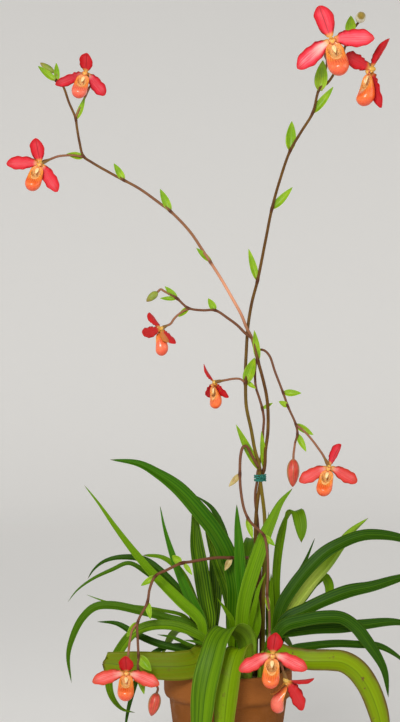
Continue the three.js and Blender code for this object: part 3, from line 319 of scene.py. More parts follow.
BLOOMS = [
    opened(spike=RIGHT, at=(129.5, -92, 930), seat=(123, -74, 914), size=1.18, red=0, dark=0.3,
           blush=0.2, pale=(1.1, 0.05), turn=(0, 0, -12), hood=4, lean=9, droop=(25, 12), sweep=(4, 26),
           pedicel=[(115, -51, 869), (121, -50, 886), (124, -57, 903)]),
    opened(spike=RIGHT, at=(180, -97, 893), seat=(178, -79, 898), size=1.08, red=0.75, dark=0.8,
           turn=(-62, 8, 0), hood=-42, droop=(-33, 77), sweep=(4, -2), reach=(1, 0.96, 1.2),
           pedicel=[(140, -49, 902), (150, -54, 907), (165, -67, 905)]),
    opened(spike=LEFT, at=(-178, 8, 889), seat=(-172, 20, 880), size=0.9, red=0.35, dark=0.75,
           blush=0.6, turn=(-4, 0, 15), hood=50, droop=(34, 30), sweep=(6, -40), twist=(50, 10, 0),
           pedicel=[(-191, 11, 832), (-185, 12, 846), (-179, 17, 858), (-174, 21, 869)]),
    opened(spike=LEFT, at=(-235, -20, 775), seat=(-223, -10, 780), size=0.92, red=0.55,
           dark=0.6, turn=(-8, 0, 14), hood=26, lean=18, droop=(10, 40), sweep=(4, 4),
           pedicel=[(-181, 5, 783), (-192, 2, 785), (-202, -1, 785), (-212, -5, 784)]),
    opened(spike=LEFT, at=(-84, -34, 568), seat=(-76, -30, 572), size=0.78, red=0.9, dark=0.9,
           blush=0.35, turn=(-130, 27, 0), hood=15, droop=(52, 8), sweep=(-6, 4), reach=(0.72, 1),
           pedicel=[(-48, -24, 593), (-56, -26, 590), (-67, -28, 581)]),
    opened(spike=RIGHT, at=(-17, -19, 501), seat=(-6, -15, 503), size=0.77, red=0.85, dark=0.85,
           turn=(-55, 28, 0), hood=9, droop=(40, 52), sweep=(6, -2), reach=(0.9, 0.74), twist=(45, 0, -40),
           pedicel=[(22, -5, 500), (15, -9, 505), (5, -12, 505)]),
    opened(spike=SLENDER, at=(127, -58, 395), seat=(121, -50, 406), size=0.89, red=0.3, dark=0.5,
           gold=0.1, pale=(0.6, 0.6), turn=(-15, 0, 10), hood=8, lean=-18, droop=(33, 18), sweep=(8, -28),
           twist=(0, 0, -45), pedicel=[(85, -30, 448), (96, -34, 439), (105, -39, 429), (114, -44, 417)]),
    opened(spike=LEFT, at=(-127, -118, 137), seat=(-125, -108, 158), size=0.9, red=0.05,
           dark=0.8, gold=0.16, turn=(0, -24, 0), hood=64, droop=(12, 17), sweep=(4, 4),
           pedicel=[(-113, -87, 200), (-120, -92, 190), (-123, -100, 176)]),
    opened(spike=RIGHT, at=(56, -125, 161), seat=(52, -113, 176), size=0.96, red=0, dark=0.75,
           gold=0.08, turn=(0, 0, 6), hood=34, droop=(28, 14), sweep=(4, 4),
           pedicel=[(52, -104, 189), (52, -107, 184)]),
    opened(spike=RIGHT, at=(73, -114, 127), seat=(69, -112, 140), size=0.92, red=0.8, dark=0.7,
           blush=0.75, turn=(92, 43, 0), hood=44, droop=(14, 18), sweep=(50, 56),
           pedicel=[(52, -104, 189), (56, -107, 168), (65, -110, 151)]),
]

BUDS = [
    dict(spike=RIGHT, seat=(164.8, -46.5, 953.6), tip=(168, -67, 962), girth=6.4, ring=0.9,
         kind="green"),
    dict(spike=LEFT, seat=(-218, 18, 889), tip=(-235, 22, 901), girth=4.4, kind="green",
         pedicel=[(-214, 15, 877), (-216, 17, 882)]),
    dict(spike=LEFT, seat=(-88, -27, 614), tip=(-102, -29, 602), girth=4.8, kind="green",
         pedicel=[(-73, -26, 611), (-80, -27, 615)]),
    dict(spike=SLENDER, seat=(82, -35, 405), tip=(81, -36, 370), girth=8, kind="red",
         pedicel=[(84, -34, 425), (83, -35, 417)]),
    dict(spike=LEFT, seat=(-89, -102, 112), tip=(-96, -104, 83), girth=7.5, kind="red",
         pedicel=[(-94, -102, 121), (-90, -102, 121)]),
]


# ---- Curves and frames


def unit(vectors):
    """Each vector divided by its length."""
    return vectors / np.maximum(np.linalg.norm(vectors, axis=-1, keepdims=True), 1e-9)


def along(vectors, direction):
    """The share of each vector that points along a unit direction, as a column."""
    return np.sum(vectors * direction, axis=-1, keepdims=True)


def smooth_line(points, per_span=16):
    """Centripetal Catmull-Rom curve: each span is the cubic that meets its neighbours' slopes, with knots
    spaced by the square root of the distance between points."""
    points = np.asarray(points, float)
    padded = np.vstack((2 * points[0] - points[1], points, 2 * points[-1] - points[-2]))
    before, start, end, after = padded[:-3], padded[1:-2], padded[2:-1], padded[3:]
    first, middle, last = (
        np.sqrt(np.linalg.norm(b - a, axis=1, keepdims=True))
        for a, b in ((before, start), (start, end), (end, after))
    )
    leave = (start - before) / first - (end - before) / (first + middle) + (end - start) / middle
    arrive = (end - start) / middle - (after - start) / (middle + last) + (after - end) / last
    leave, arrive = leave * middle, arrive * middle
    t = (np.arange(per_span) / per_span)[:, None]
    start, end, leave, arrive = (v[:, None] for v in (start, end, leave, arrive))
    square = 3 * (end - start) - 2 * leave - arrive
    cubic = 2 * (start - end) + leave + arrive
    spans = start + leave * t + square * t**2 + cubic * t**3
    return np.vstack((spans.reshape(-1, 3), points[-1]))


def arc_lengths(line):
    """Distance along a line from its first point to each point."""
    steps = np.linalg.norm(np.diff(line, axis=0), axis=1)
    return np.concatenate(([0], np.cumsum(steps)))


def resample(line, shares):
    """Points of a line at the given shares of its length."""
    lengths = arc_lengths(line)
    wanted = np.asarray(shares) * lengths[-1]
    return np.stack([np.interp(wanted, lengths, line[:, axis]) for axis in range(3)], axis=1)


def turned(axis, degrees):
    """Rotation matrix about X, Y or Z."""
    cosine, sine = np.cos(np.radians(degrees)), np.sin(np.radians(degrees))
    a, b = {"X": (1, 2), "Y": (2, 0), "Z": (0, 1)}[axis]
    matrix = np.eye(3)
    matrix[a, a] = matrix[b, b] = cosine
    matrix[a, b], matrix[b, a] = -sine, sine
    return matrix


def ease(values, low, high):
    """0 below low, 1 above high, and the smooth step 3t^2 - 2t^3 between them."""
    t = np.clip((np.asarray(values, float) - low) / (high - low), 0, 1)
    return t * t * (3 - 2 * t)


def bump(values, centre, width):
    """The bell exp(-((v - centre) / width)^2)."""
    return np.exp(-(((np.asarray(values, float) - centre) / width) ** 2))


def around(count):
    """Angles of so many even steps round a circle."""
    return np.linspace(0, 2 * np.pi, count, endpoint=False)


def stacked(*parts):
    """Points or pattern coordinates from their parts, all spread to one shape."""
    return np.stack(np.broadcast_arrays(*parts), axis=-1)


# ---- Surfaces
# A patch is a dict of arrays: points, quads, triangles, uv and tint for each point, the share of
# the underside for each point, and the number of its finish.

NO_TINT = (0, 0, 0, 0)
NO_TRIANGLES, NO_QUADS = np.zeros((0, 3), int), np.zeros((0, 4), int)


def bare_patch(points, quads, triangles, uv, tint, under=0, finish=0):
    """A patch from its arrays, or from one value of uv, tint and underside for all points."""
    made = {"points": points, "quads": quads, "triangles": triangles, "finish": finish}
    for key, value, shape in (("uv", uv, (2,)), ("tint", tint, (4,)), ("under", under, ())):
        made[key] = np.broadcast_to(value, (len(points), *shape))
    return made


def patch(points, uv, tint=NO_TINT, under=0, finish=0):
    """A closed surface from a grid of points with rows along the piece: the last column joins the first, both
    end rows are closed with a fan round their middle point, and its faces are turned outwards."""
    rows, columns = points.shape[:2]
    index = np.arange(rows * columns).reshape(rows, columns)
    index = np.concatenate((index, index[:, :1]), axis=1)
    quads = stacked(index[:-1, :-1], index[:-1, 1:], index[1:, 1:], index[1:, :-1]).reshape(-1, 4)
    flat = points.reshape(-1, 3)
    uv = np.broadcast_to(uv, (rows, columns, 2)).reshape(-1, 2)
    tint = np.broadcast_to(tint, (rows, columns, 4)).reshape(-1, 4)
    under = np.broadcast_to(under, (rows, columns)).reshape(-1)
    ends = []
    for row, pole, flip in ((0, rows * columns, 1), (rows - 1, rows * columns + 1, -1)):
        a, b = index[row, :-1], index[row, 1:]
        ends.append(np.stack((np.full_like(a, pole), b, a)[::flip], axis=1))
        flat = np.vstack((flat, points[row].mean(axis=0)))
        uv = np.vstack((uv, uv[a].mean(axis=0)))
        tint = np.vstack((tint, tint[a].mean(axis=0)))
        under = np.append(under, under[a].mean())
    triangles = np.vstack(ends)
    corners = flat[np.vstack((quads[:, :3], quads[:, [0, 2, 3]], triangles))]
    if np.sum(corners[:, 0] * np.cross(corners[:, 1], corners[:, 2])) < 0:
        quads, triangles = quads[:, ::-1], triangles[:, ::-1]
    return bare_patch(flat, quads, triangles, uv, tint, under, finish)


def build_piece(name, patches, materials, nodes=()):
    """Joins patches into one mesh object in metres, with a UV map, a tint and an underside attribute."""

    def joined(key):
        return np.concatenate([p[key] for p in patches])

    def numbered(key):
        return np.concatenate([p[key] + start for p, start in zip(patches, starts)])

    starts = np.cumsum([0] + [len(p["points"]) for p in patches])
    quads, triangles = numbered("quads"), numbered("triangles")
    kinds = [np.full(len(p[key]), p["finish"]) for key in ("quads", "triangles") for p in patches]
    corners = np.concatenate((quads.ravel(), triangles.ravel()))
    loop_starts = np.concatenate((np.arange(len(quads)) * 4, len(quads) * 4 + np.arange(len(triangles)) * 3))

    mesh = bpy.data.meshes.new(name)
    mesh.vertices.add(starts[-1])
    mesh.loops.add(len(corners))
    mesh.polygons.add(len(loop_starts))
    mesh.vertices.foreach_set("co", (joined("points") * MM).ravel())
    mesh.loops.foreach_set("vertex_index", corners)
    mesh.polygons.foreach_set("loop_start", loop_starts)
    mesh.polygons.foreach_set("material_index", np.concatenate(kinds))
    mesh.polygons.foreach_set("use_smooth", np.ones(len(loop_starts), bool))
    mesh.uv_layers.new(name=UV_NAME).data.foreach_set("uv", joined("uv")[corners].ravel())
    tint = mesh.attributes.new(TINT_NAME, "FLOAT_COLOR", "POINT")
    tint.data.foreach_set("color", joined("tint").ravel())
    under = mesh.attributes.new(UNDER_NAME, "FLOAT", "POINT")
    under.data.foreach_set("value", joined("under"))
    mesh.update(calc_edges=True)
    for surface in materials:
        mesh.materials.append(surface)

    piece = bpy.data.objects.new(name, mesh)
    bpy.context.scene.collection.objects.link(piece)
    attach(piece, ROOT_BODY)
    if nodes:
        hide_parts(*nodes)


def around_uv(angles, length):
    """Pattern coordinates of a round piece: 0 at its front, 1 at its back, and along it."""
    return stacked(np.abs(angles - np.pi) / np.pi, length)


def tube(line, radii, sides, pattern=1, tint=NO_TINT, finish=0):
    """A closed round tube: centre + r(t, angle) * (normal cos + binormal sin). The normal is the direction
    nearest to +Y, and pattern gives a factor on the radius for each ring and angle."""
    tangents = unit(np.gradient(line, axis=0))
    reference = np.array((0, 1, 0))
    normals = unit(reference - tangents * along(tangents, reference))
    binormals = np.cross(tangents, normals)
    angles = around(sides)
    radii = np.broadcast_to(radii, (len(line),))[:, None] * np.ones(sides) * pattern
    spokes = normals[:, None] * np.cos(angles)[:, None] + binormals[:, None] * np.sin(angles)[:, None]
    points = line[:, None] + spokes * radii[..., None]
    lengths = arc_lengths(line)
    return patch(points, around_uv(angles, (lengths / lengths[-1])[:, None]), tint, finish=finish)


def hairs(roots, directions, length, radius, tint, finish):
    """Short straight hairs, each a slim closed pyramid on three base points round its root."""
    directions = unit(directions)
    side = unit(np.cross(directions, (0.31, 0.86, 0.41)))
    other = np.cross(directions, side)
    angles = np.radians((0, 120, 240))
    base = roots[:, None] + radius * (
        side[:, None] * np.cos(angles)[:, None] + other[:, None] * np.sin(angles)[:, None]
    )
    tips = roots + directions * np.broadcast_to(length, (len(roots),))[:, None]
    points = np.concatenate((base, tips[:, None]), axis=1).reshape(-1, 3)
    first = (np.arange(len(roots)) * 4)[:, None, None]
    faces = np.array(((0, 2, 1), (0, 1, 3), (1, 2, 3), (2, 0, 3)))
    uv = np.tile(np.array(((0, 0), (0.3, 0), (0.6, 0), (0.3, 1))), (len(roots), 1))
    return bare_patch(points, NO_QUADS, (first + faces).reshape(-1, 3), uv, tint, 0, finish)


def surface_sample(surface, count, seed, pick=None):
    """Points and outward directions at random places of a patch's quads, chosen by area. pick keeps the
    quads whose middle it accepts."""
    draw = np.random.default_rng(seed)
    corners = surface["points"][surface["quads"]]
    if pick is not None:
        corners = corners[pick(surface["uv"][surface["quads"]].mean(axis=1))]
    cross = np.cross(corners[:, 2] - corners[:, 0], corners[:, 3] - corners[:, 1])
    area = np.linalg.norm(cross, axis=1)
    chosen = draw.choice(len(corners), count, p=area / area.sum())
    a, b = draw.random((2, count, 1))
    c = corners[chosen]
    spots = (c[:, 0] * (1 - a) + c[:, 1] * a) * (1 - b) + (c[:, 3] * (1 - a) + c[:, 2] * a) * b
    return spots, unit(cross[chosen])


def down(skin, count, seed, draw, spread, lengths, radius=0.04, tint=NO_TINT, finish=1):
    """Short hairs scattered over a skin, each turned a little at random from its outward direction."""
    roots, out = surface_sample(skin, count, seed)
    out = out + draw.normal(0, spread, out.shape)
    return hairs(roots, out, draw.uniform(*lengths, count), radius, tint, finish)


# ---- Nodes of the finishes

UV_NAME = "surface"
TINT_NAME = "tint"
UNDER_NAME = "underside"


def rgba(colour):
    """A colour socket's value."""
    return (*colour[:3], 1)


class Nodes:
    """Short calls that add nodes to a tree. A number, colour or vector sets an input; a socket is linked."""

    def __init__(self, tree):
        self.tree = tree
        tree.nodes.clear()

    def feed(self, socket, value):
        if isinstance(value, bpy.types.NodeSocket):
            self.tree.links.new(value, socket)
        else:
            socket.default_value = value

    def add(self, kind, inputs=(), **settings):
        made = self.tree.nodes.new("ShaderNode" + kind)
        for key, value in settings.items():
            setattr(made, key, value)
        for key, value in dict(inputs).items():
            self.feed(made.inputs[key], value)
        return made

    def math(self, operation, *values):
        return self.add("Math", enumerate(values), operation=operation).outputs[0]

    def times(self, value, factor):
        return self.math("MULTIPLY", value, factor)

    def scaled(self, value, factor, plus):
        return self.math("MULTIPLY_ADD", value, factor, plus)

    def most(self, first, second):
        return self.math("MAXIMUM", first, second)

    def from_middle(self, across):
        """Distance from the middle line, 0 there and 0.5 at a margin."""
        return self.math("ABSOLUTE", self.math("SUBTRACT", across, 0.5))

    def mix(self, factor, first, second):
        first, second = (c if isinstance(c, bpy.types.NodeSocket) else rgba(c) for c in (first, second))
        return self.add("Mix", {0: factor, 6: first, 7: second}, data_type="RGBA").outputs[2]

    def coats(self, colour, *layers):
        """Coats over a first colour, each given as (colour, mask) or (colour, mask, share of the mask)."""
        for top, mask, *share in layers:
            colour = self.mix(self.times(mask, *share) if share else mask, colour, top)
        return colour

    def step(self, value, low, high, bottom=0, top=1):
        inputs = {"Value": value, "From Min": low, "From Max": high, "To Min": bottom, "To Max": top}
        return self.add("MapRange", inputs, interpolation_type="SMOOTHSTEP").outputs["Result"]

    def noise(self, vector, scale, detail=3, roughness=0.55):
        inputs = {"Vector": vector, "Scale": scale, "Detail": detail, "Roughness": roughness}
        return self.add("TexNoise", inputs).outputs["Fac"]

    def spots(self, scale):
        inputs = {"Vector": self.place(), "Scale": scale}
        return self.add("TexVoronoi", inputs, feature="F1").outputs["Distance"]

    def vector(self, x, y, z=0):
        return self.add("CombineXYZ", {0: x, 1: y, 2: z}).outputs[0]

    def surface(self):
        """The two pattern coordinates: across the piece and along it, each from 0 to 1."""
        parts = self.add("SeparateXYZ", {0: self.add("UVMap", uv_map=UV_NAME).outputs[0]})
        return parts.outputs[0], parts.outputs[1]

    def tint(self):
        """The four tint values of a point."""
        read = self.add("Attribute", attribute_name=TINT_NAME)
        parts = self.add("SeparateColor", {0: read.outputs["Color"]})
        return parts.outputs[0], parts.outputs[1], parts.outputs[2], read.outputs["Alpha"]

    def underside(self):
        return self.add("Attribute", attribute_name=UNDER_NAME).outputs["Fac"]

    def place(self):
        return self.add("TexCoord").outputs["Object"]

    def height(self):
        return self.add("SeparateXYZ", {0: self.place()}).outputs[2]

    def group(self, group, **inputs):
        made = self.add("Group", node_tree=group)
        for key, value in inputs.items():
            self.feed(made.inputs[key.title()], value)
        return made.outputs[0]

    def mottle(self, scale, low, high):
        return self.group(MOTTLE, scale=scale, low=low, high=high)


def shared_group(name, inputs, output, build):
    """A shader node group with named float inputs and one output, made by build(nodes, inputs)."""
    tree = bpy.data.node_groups.new(name, "ShaderNodeTree")
    for label, value in inputs.items():
        socket = tree.interface.new_socket(label, in_out="INPUT", socket_type="NodeSocketFloat")
        socket.default_value = value
    tree.interface.new_socket(output, in_out="OUTPUT", socket_type="NodeSocketFloat")
    nodes = Nodes(tree)
    entry = tree.nodes.new("NodeGroupInput")
    leave = tree.nodes.new("NodeGroupOutput")
    tree.links.new(build(nodes, entry.outputs), leave.inputs[0])
    return tree


def build_veins(nodes, inputs):
    """Fine lines along a blade: sin(2 pi Count u), with u pushed aside by slow noise, sharpened."""
    across, length = nodes.surface()
    drift = nodes.noise(nodes.vector(nodes.times(across, 3), length), 4, 2)
    moved = nodes.scaled(drift, inputs["Drift"], across)
    wave = nodes.math("SINE", nodes.times(nodes.times(moved, inputs["Count"]), 6.2832))
    return nodes.step(wave, inputs["Low"], 1)


def build_mottle(nodes, inputs):
    """Cloudy patches: noise on the piece's own place, cut between Low and High."""
    cloud = nodes.noise(nodes.place(), inputs["Scale"], 5, 0.6)
    return nodes.step(cloud, inputs["Low"], inputs["High"])


def build_grain(nodes, inputs):
    """Fine grain: two noises a factor of four apart, added."""
    spot = nodes.place()
    coarse = nodes.noise(spot, inputs["Scale"], 3, 0.6)
    fine = nodes.noise(spot, nodes.times(inputs["Scale"], 4), 2, 0.6)
    return nodes.scaled(fine, 0.5, coarse)


def build_midrib(nodes, inputs):
    """A band round the blade's middle line: 1 at u = 0.5, falling to 0 at Width from it."""
    across, _ = nodes.surface()
    return nodes.step(nodes.from_middle(across), 0, inputs["Width"], 1, 0)


def build_margin(nodes, inputs):
    """A line along both margins: 0 at Width from the margin, 1 at it, widened here and there by noise."""
    across, length = nodes.surface()
    wander = nodes.noise(nodes.vector(across, nodes.times(length, 9)), 1.5, 2)
    edge = nodes.scaled(nodes.math("SUBTRACT", wander, 0.5), inputs["Width"], nodes.from_middle(across))
    return nodes.step(edge, nodes.math("SUBTRACT", 0.5, inputs["Width"]), 0.5)


VEINS = shared_group("length_veins", {"Count": 12, "Drift": 0.03, "Low": 0}, "Mask", build_veins)
MOTTLE = shared_group("soft_mottle", {"Scale": 20, "Low": 0.4, "High": 0.6}, "Mask", build_mottle)
GRAIN = shared_group("fine_grain", {"Scale": 900}, "Height", build_grain)
MIDRIB = shared_group("midrib_band", {"Width": 0.06}, "Mask", build_midrib)
MARGIN = shared_group("margin_line", {"Width": 0.04}, "Mask", build_margin)


def material(name, build):
    """A material whose Principled shader takes what build(nodes) returns: socket values and links by name,
    with "bump" as (height, strength, distance in mm)."""
    made = bpy.data.materials.new(name)
    made.use_nodes = True
    nodes = Nodes(made.node_tree)
    given = build(nodes)
    if "bump" in given:
        height, strength, distance = given.pop("bump")
        inputs = {"Height": height, "Strength": strength, "Distance": distance * MM}
        given["Normal"] = nodes.add("Bump", inputs).outputs[0]
    if not isinstance(given["Base Color"], bpy.types.NodeSocket):
        given["Base Color"] = rgba(given["Base Color"])
    shader = nodes.add("BsdfPrincipled", given)
    nodes.add("OutputMaterial", {"Surface": shader.outputs[0]})
    return made


def soft(weight, radius):
    """Principled inputs of a thin part that light shines into, 2 mm deep at most."""
    return {"Subsurface Weight": weight, "Subsurface Radius": radius, "Subsurface Scale": 2 * MM}


# ---- Finishes

DEEP_GREEN = (0.006, 0.04, 0.0004)
FRESH_GREEN = (0.15, 0.33, 0.001)
PURE_GREEN = (0.02, 0.14, 0.0004)
OLIVE = (0.26, 0.26, 0.001)
LINE_DEEP = (0.045, 0.15, 0.002)
LINE_GREEN = (0.26, 0.43, 0.006)
# PALE_GREEN also paints the sheen low on the pale leaf
PALE_GREEN = (0.6, 0.72, 0.12)
DRY_BROWN = (0.13, 0.06, 0.02)


def leaf_finish(nodes):
    """Strap leaf: deep or fresh green as the tint says, partly its own green and partly painted shade and
    light, dark bands and bright stripes along it, a midrib groove painted in shade with lit shoulders painted
    lighter, thin pale margins, a fresh foot, a dry tip and brown tears. The pale kind has a painted sheen
    low on its blade."""
    across, length = nodes.surface()
    light, yellow, stripes, wear = nodes.tint()
    shift = nodes.scaled(light, 7.3, nodes.times(yellow, 3.1))
    slow = nodes.vector(nodes.times(across, 9), nodes.scaled(length, 0.9, shift))
    bands = nodes.step(nodes.noise(slow, 1, 3, 0.6), 0.5, 0.66)
    wide = nodes.vector(nodes.times(across, 4), nodes.scaled(length, 1.1, shift))
    broad = nodes.step(nodes.noise(wide, 1, 1, 0.4), 0.38, 0.6)
    # painted sheen: a white-green sheen low on the blade of the pale kind of leaf
    painted_sheen_foot = nodes.times(nodes.step(light, 0.9, 1, 0, 0.8), nodes.step(length, 0.5, 0.72, 1, 0))
    line = nodes.mix(nodes.most(light, nodes.times(stripes, 0.6)), LINE_DEEP, LINE_GREEN)
    veins = nodes.group(VEINS, count=19, drift=0.02, low=0.3)
    ridges = nodes.group(VEINS, count=6.5, drift=0.12, low=0.2)
    # painted shade in the midrib groove, and painted light on its shoulders
    groove_shade = nodes.group(MIDRIB, width=0.035)
    shoulder_highlight = nodes.math("SUBTRACT", nodes.group(MIDRIB, width=0.13), groove_shade)
    frayed = nodes.times(nodes.group(MARGIN, width=0.2), 0.85)
    torn = nodes.times(nodes.most(nodes.mottle(60, 0.63, 0.68), frayed), wear)
    colour = nodes.coats(
        # painted light and shade: the light share runs from shaded deep green to lit fresh green
        nodes.mix(light, DEEP_GREEN, FRESH_GREEN),
        (OLIVE, yellow),
        (PURE_GREEN, yellow, -1),
        # painted sheen low on the pale leaf
        (PALE_GREEN, painted_sheen_foot),
        (DEEP_GREEN, broad, nodes.scaled(stripes, 0.5, 0.12)),
        (FRESH_GREEN, nodes.step(length, 0, 0.3, 0.35, 0)),
        (line, bands, nodes.times(stripes, 0.8)),
        (line, veins, 0.15),
        (line, ridges, 0.3),
        # painted shade in the groove, then painted light on its shoulders
        (DEEP_GREEN, groove_shade, 0.35),
        (line, shoulder_highlight, 0.3),
        (nodes.mix(light, LINE_GREEN, PALE_GREEN), nodes.group(MARGIN, width=0.022), 0.4),
        (PALE_GREEN, nodes.underside(), 0.08),
        (DRY_BROWN, nodes.most(torn, nodes.step(length, 0.975, 1, 0, 0.6))),
    )
    return {
        "Base Color": colour,
        "Roughness": nodes.scaled(nodes.mottle(40, 0.3, 0.7), 0.12, 0.38),
        "Specular IOR Level": 0.1,
        "bump": (
            nodes.scaled(nodes.group(GRAIN, scale=700), 0.25, nodes.scaled(ridges, 0.4, veins)),
            0.35,
            0.25,
        ),
    }


def sheath_finish(nodes):
    """The pale short stem that the leaf bases wrap, browned at the soil."""
    dirt = nodes.times(nodes.step(nodes.height(), 0.128, 0.146, 1, 0), nodes.mottle(110, 0.35, 0.6))
    colour = nodes.mix(nodes.mottle(35, 0.3, 0.7), OLIVE, FRESH_GREEN)
    return {
        "Base Color": nodes.mix(dirt, colour, DRY_BROWN),
        "Roughness": 0.5,
        "bump": (nodes.group(VEINS, count=9), 0.4, 0.4),
    }


STEM_BROWN = (0.08, 0.026, 0.004)
STEM_TAN = (0.15, 0.068, 0.006)
STEM_RED = (0.065, 0.014, 0.004)
# pink of the painted highlight on the spikes, and the pedicels' own paler skin
STEM_PINK_AND_HIGHLIGHT = (0.68, 0.3, 0.17)
STEM_GREEN = (0.2, 0.19, 0.004)
STEM_FLECK = (0.3, 0.17, 0.07)
HAIR_TAN = (0.2, 0.1, 0.035)
HAIR_RED = (0.36, 0.06, 0.03)


def stem_finish(nodes):
    """Flower spike: brown skin that turns dark red, pink or green where the tint says, with fine flecks. On a
    spike the pink is a painted highlight where light fell on it; on pedicels it is their own paler skin.
    """
    red, pale, green, _ = nodes.tint()
    colour = nodes.coats(
        nodes.mix(nodes.mottle(60, 0.3, 0.7), STEM_BROWN, STEM_TAN),
        (STEM_RED, red),
        # painted highlight on the lit stretch of a spike; on pedicels their own paler skin
        (STEM_PINK_AND_HIGHLIGHT, pale),
        (STEM_GREEN, green),
        (STEM_FLECK, nodes.mottle(900, 0.58, 0.66), 0.2),
    )
    return {
        "Base Color": colour,
        "Roughness": 0.55,
        "Specular IOR Level": 0.2,
        "bump": (nodes.group(GRAIN, scale=1400), 0.3, 0.12),
    }


def hair_finish(nodes):
    """Fine hairs, darker at the root and redder where the tint says."""
    _, length = nodes.surface()
    red, *_ = nodes.tint()
    end = nodes.mix(red, HAIR_TAN, HAIR_RED)
    return {"Base Color": nodes.mix(length, nodes.mix(0.5, end, DRY_BROWN), end), "Roughness": 0.6}


BRACT_GREEN = (0.19, 0.37, 0.002)
BRACT_LIGHT = (0.33, 0.5, 0.006)
BRACT_LINE = (0.07, 0.2, 0.002)
BRACT_FOOT = (0.22, 0.16, 0.02)
DRY_TAN = (0.42, 0.27, 0.1)
DRY_STRAW = (0.62, 0.48, 0.22)


def bract_finish(nodes):
    """Bract: bright yellow-green with darker lines, pale margins and, where the tint says, a dry tan skin."""
    _, length = nodes.surface()
    dry, *_ = nodes.tint()
    colour = nodes.coats(
        nodes.mix(nodes.mottle(70, 0.3, 0.7), BRACT_GREEN, BRACT_LIGHT),
        (BRACT_LINE, nodes.group(VEINS, count=6), 0.4),
        (BRACT_FOOT, nodes.step(length, 0, 0.2, 0.6, 0)),
        (PALE_GREEN, nodes.group(MARGIN, width=0.05), 0.2),
        (nodes.mix(nodes.mottle(90, 0.35, 0.65), DRY_TAN, DRY_STRAW), dry),
    )
    return {
        "Base Color": colour,
        "Roughness": 0.45,
        "bump": (nodes.group(VEINS, count=9), 0.3, 0.2),
        **soft(0.1, (0.4, 1, 0.2)),
    }


CLAW_PALE = (0.94, 0.6, 0.52)
CLAW_EDGE = (0.13, 0.004, 0.006)
RIB_RED = (0.2, 0.006, 0.01)
ROOT_GOLD = (0.72, 0.42, 0.05)
SEPAL_GOLD = (0.52, 0.3, 0.035)
PETAL_BACK = (0.45, 0.08, 0.05)


def petal_finish(nodes):
    """Petal: coral with fine darker veins and pale streaks of painted highlight, deep red margins and tip,
    a pale claw with dark edges, and a gold root. Tint: red share, pale share at the claw and in the
    painted highlight streaks, dark midrib, gold."""
    across, length = nodes.surface()
    red, pale, rib_share, gold = nodes.tint()
    settings = bpy.context.scene.orchid_blooms
    deep = settings.petal_red
    streaks = nodes.noise(nodes.vector(nodes.times(across, 11), length, red), 1.6, 3, 0.6)
    away = nodes.from_middle(across)
    centre = nodes.step(away, 0.08, 0.34, 1, 0)
    # painted highlight: pale streaks along the petal's middle
    highlight_streaks = nodes.times(nodes.step(streaks, 0.35, 0.7), nodes.times(centre, nodes.scaled(pale, 0.45, 0.3)))
    rim = nodes.step(nodes.scaled(nodes.math("SUBTRACT", streaks, 0.5), 0.2, away), 0.24, 0.48)
    veins = nodes.group(VEINS, count=7.5, drift=0.06, low=0.5)
    claw_end = nodes.scaled(pale, 0.7, -0.1)
    claw = nodes.times(nodes.step(length, 0.04, claw_end, 1, 0), nodes.step(away, 0.1, 0.38, 1, 0))
    claw_edge = nodes.times(nodes.step(away, 0.3, 0.46), nodes.step(length, 0.1, 0.45, 1, 0))
    colour = nodes.coats(
        # coral skin with the painted highlight streaks
        nodes.mix(highlight_streaks, settings.petal_coral, settings.petal_highlight),
        (deep, nodes.most(rim, nodes.step(length, 0.72, 1)), 0.85),
        (deep, red),
        (deep, veins, 0.35),
        (CLAW_PALE, claw, pale),
        (CLAW_EDGE, claw_edge, 0.75),
        (RIB_RED, nodes.group(MIDRIB, width=0.04), rib_share),
        (ROOT_GOLD, nodes.step(length, 0, 0.17, 1, 0), 0.75),
        (SEPAL_GOLD, gold),
        (PETAL_BACK, nodes.underside(), 0.12),
    )
    return {
        "Base Color": colour,
        "Roughness": nodes.scaled(streaks, 0.2, 0.38),
        "Specular IOR Level": 0.14,
        "bump": (nodes.scaled(nodes.group(GRAIN, scale=1800), 0.3, veins), 0.3, 0.2),
        **soft(0.08, (1, 0.2, 0.12)),
    }


POUCH_BLUSH = (0.86, 0.17, 0.13)
TOE_RED = (0.7, 0.045, 0.02)
POUCH_LINE = (0.55, 0.03, 0.01)
LOBE_GOLD = (0.86, 0.33, 0.035)
LOBE_RIB = (0.6, 0.05, 0.008)
THROAT_GOLD = (0.92, 0.52, 0.18)
THROAT_DOT = (0.6, 0.05, 0.015)
# painted shade deep inside the pouch
THROAT_PAINTED_SHADE = (0.55, 0.11, 0.02)


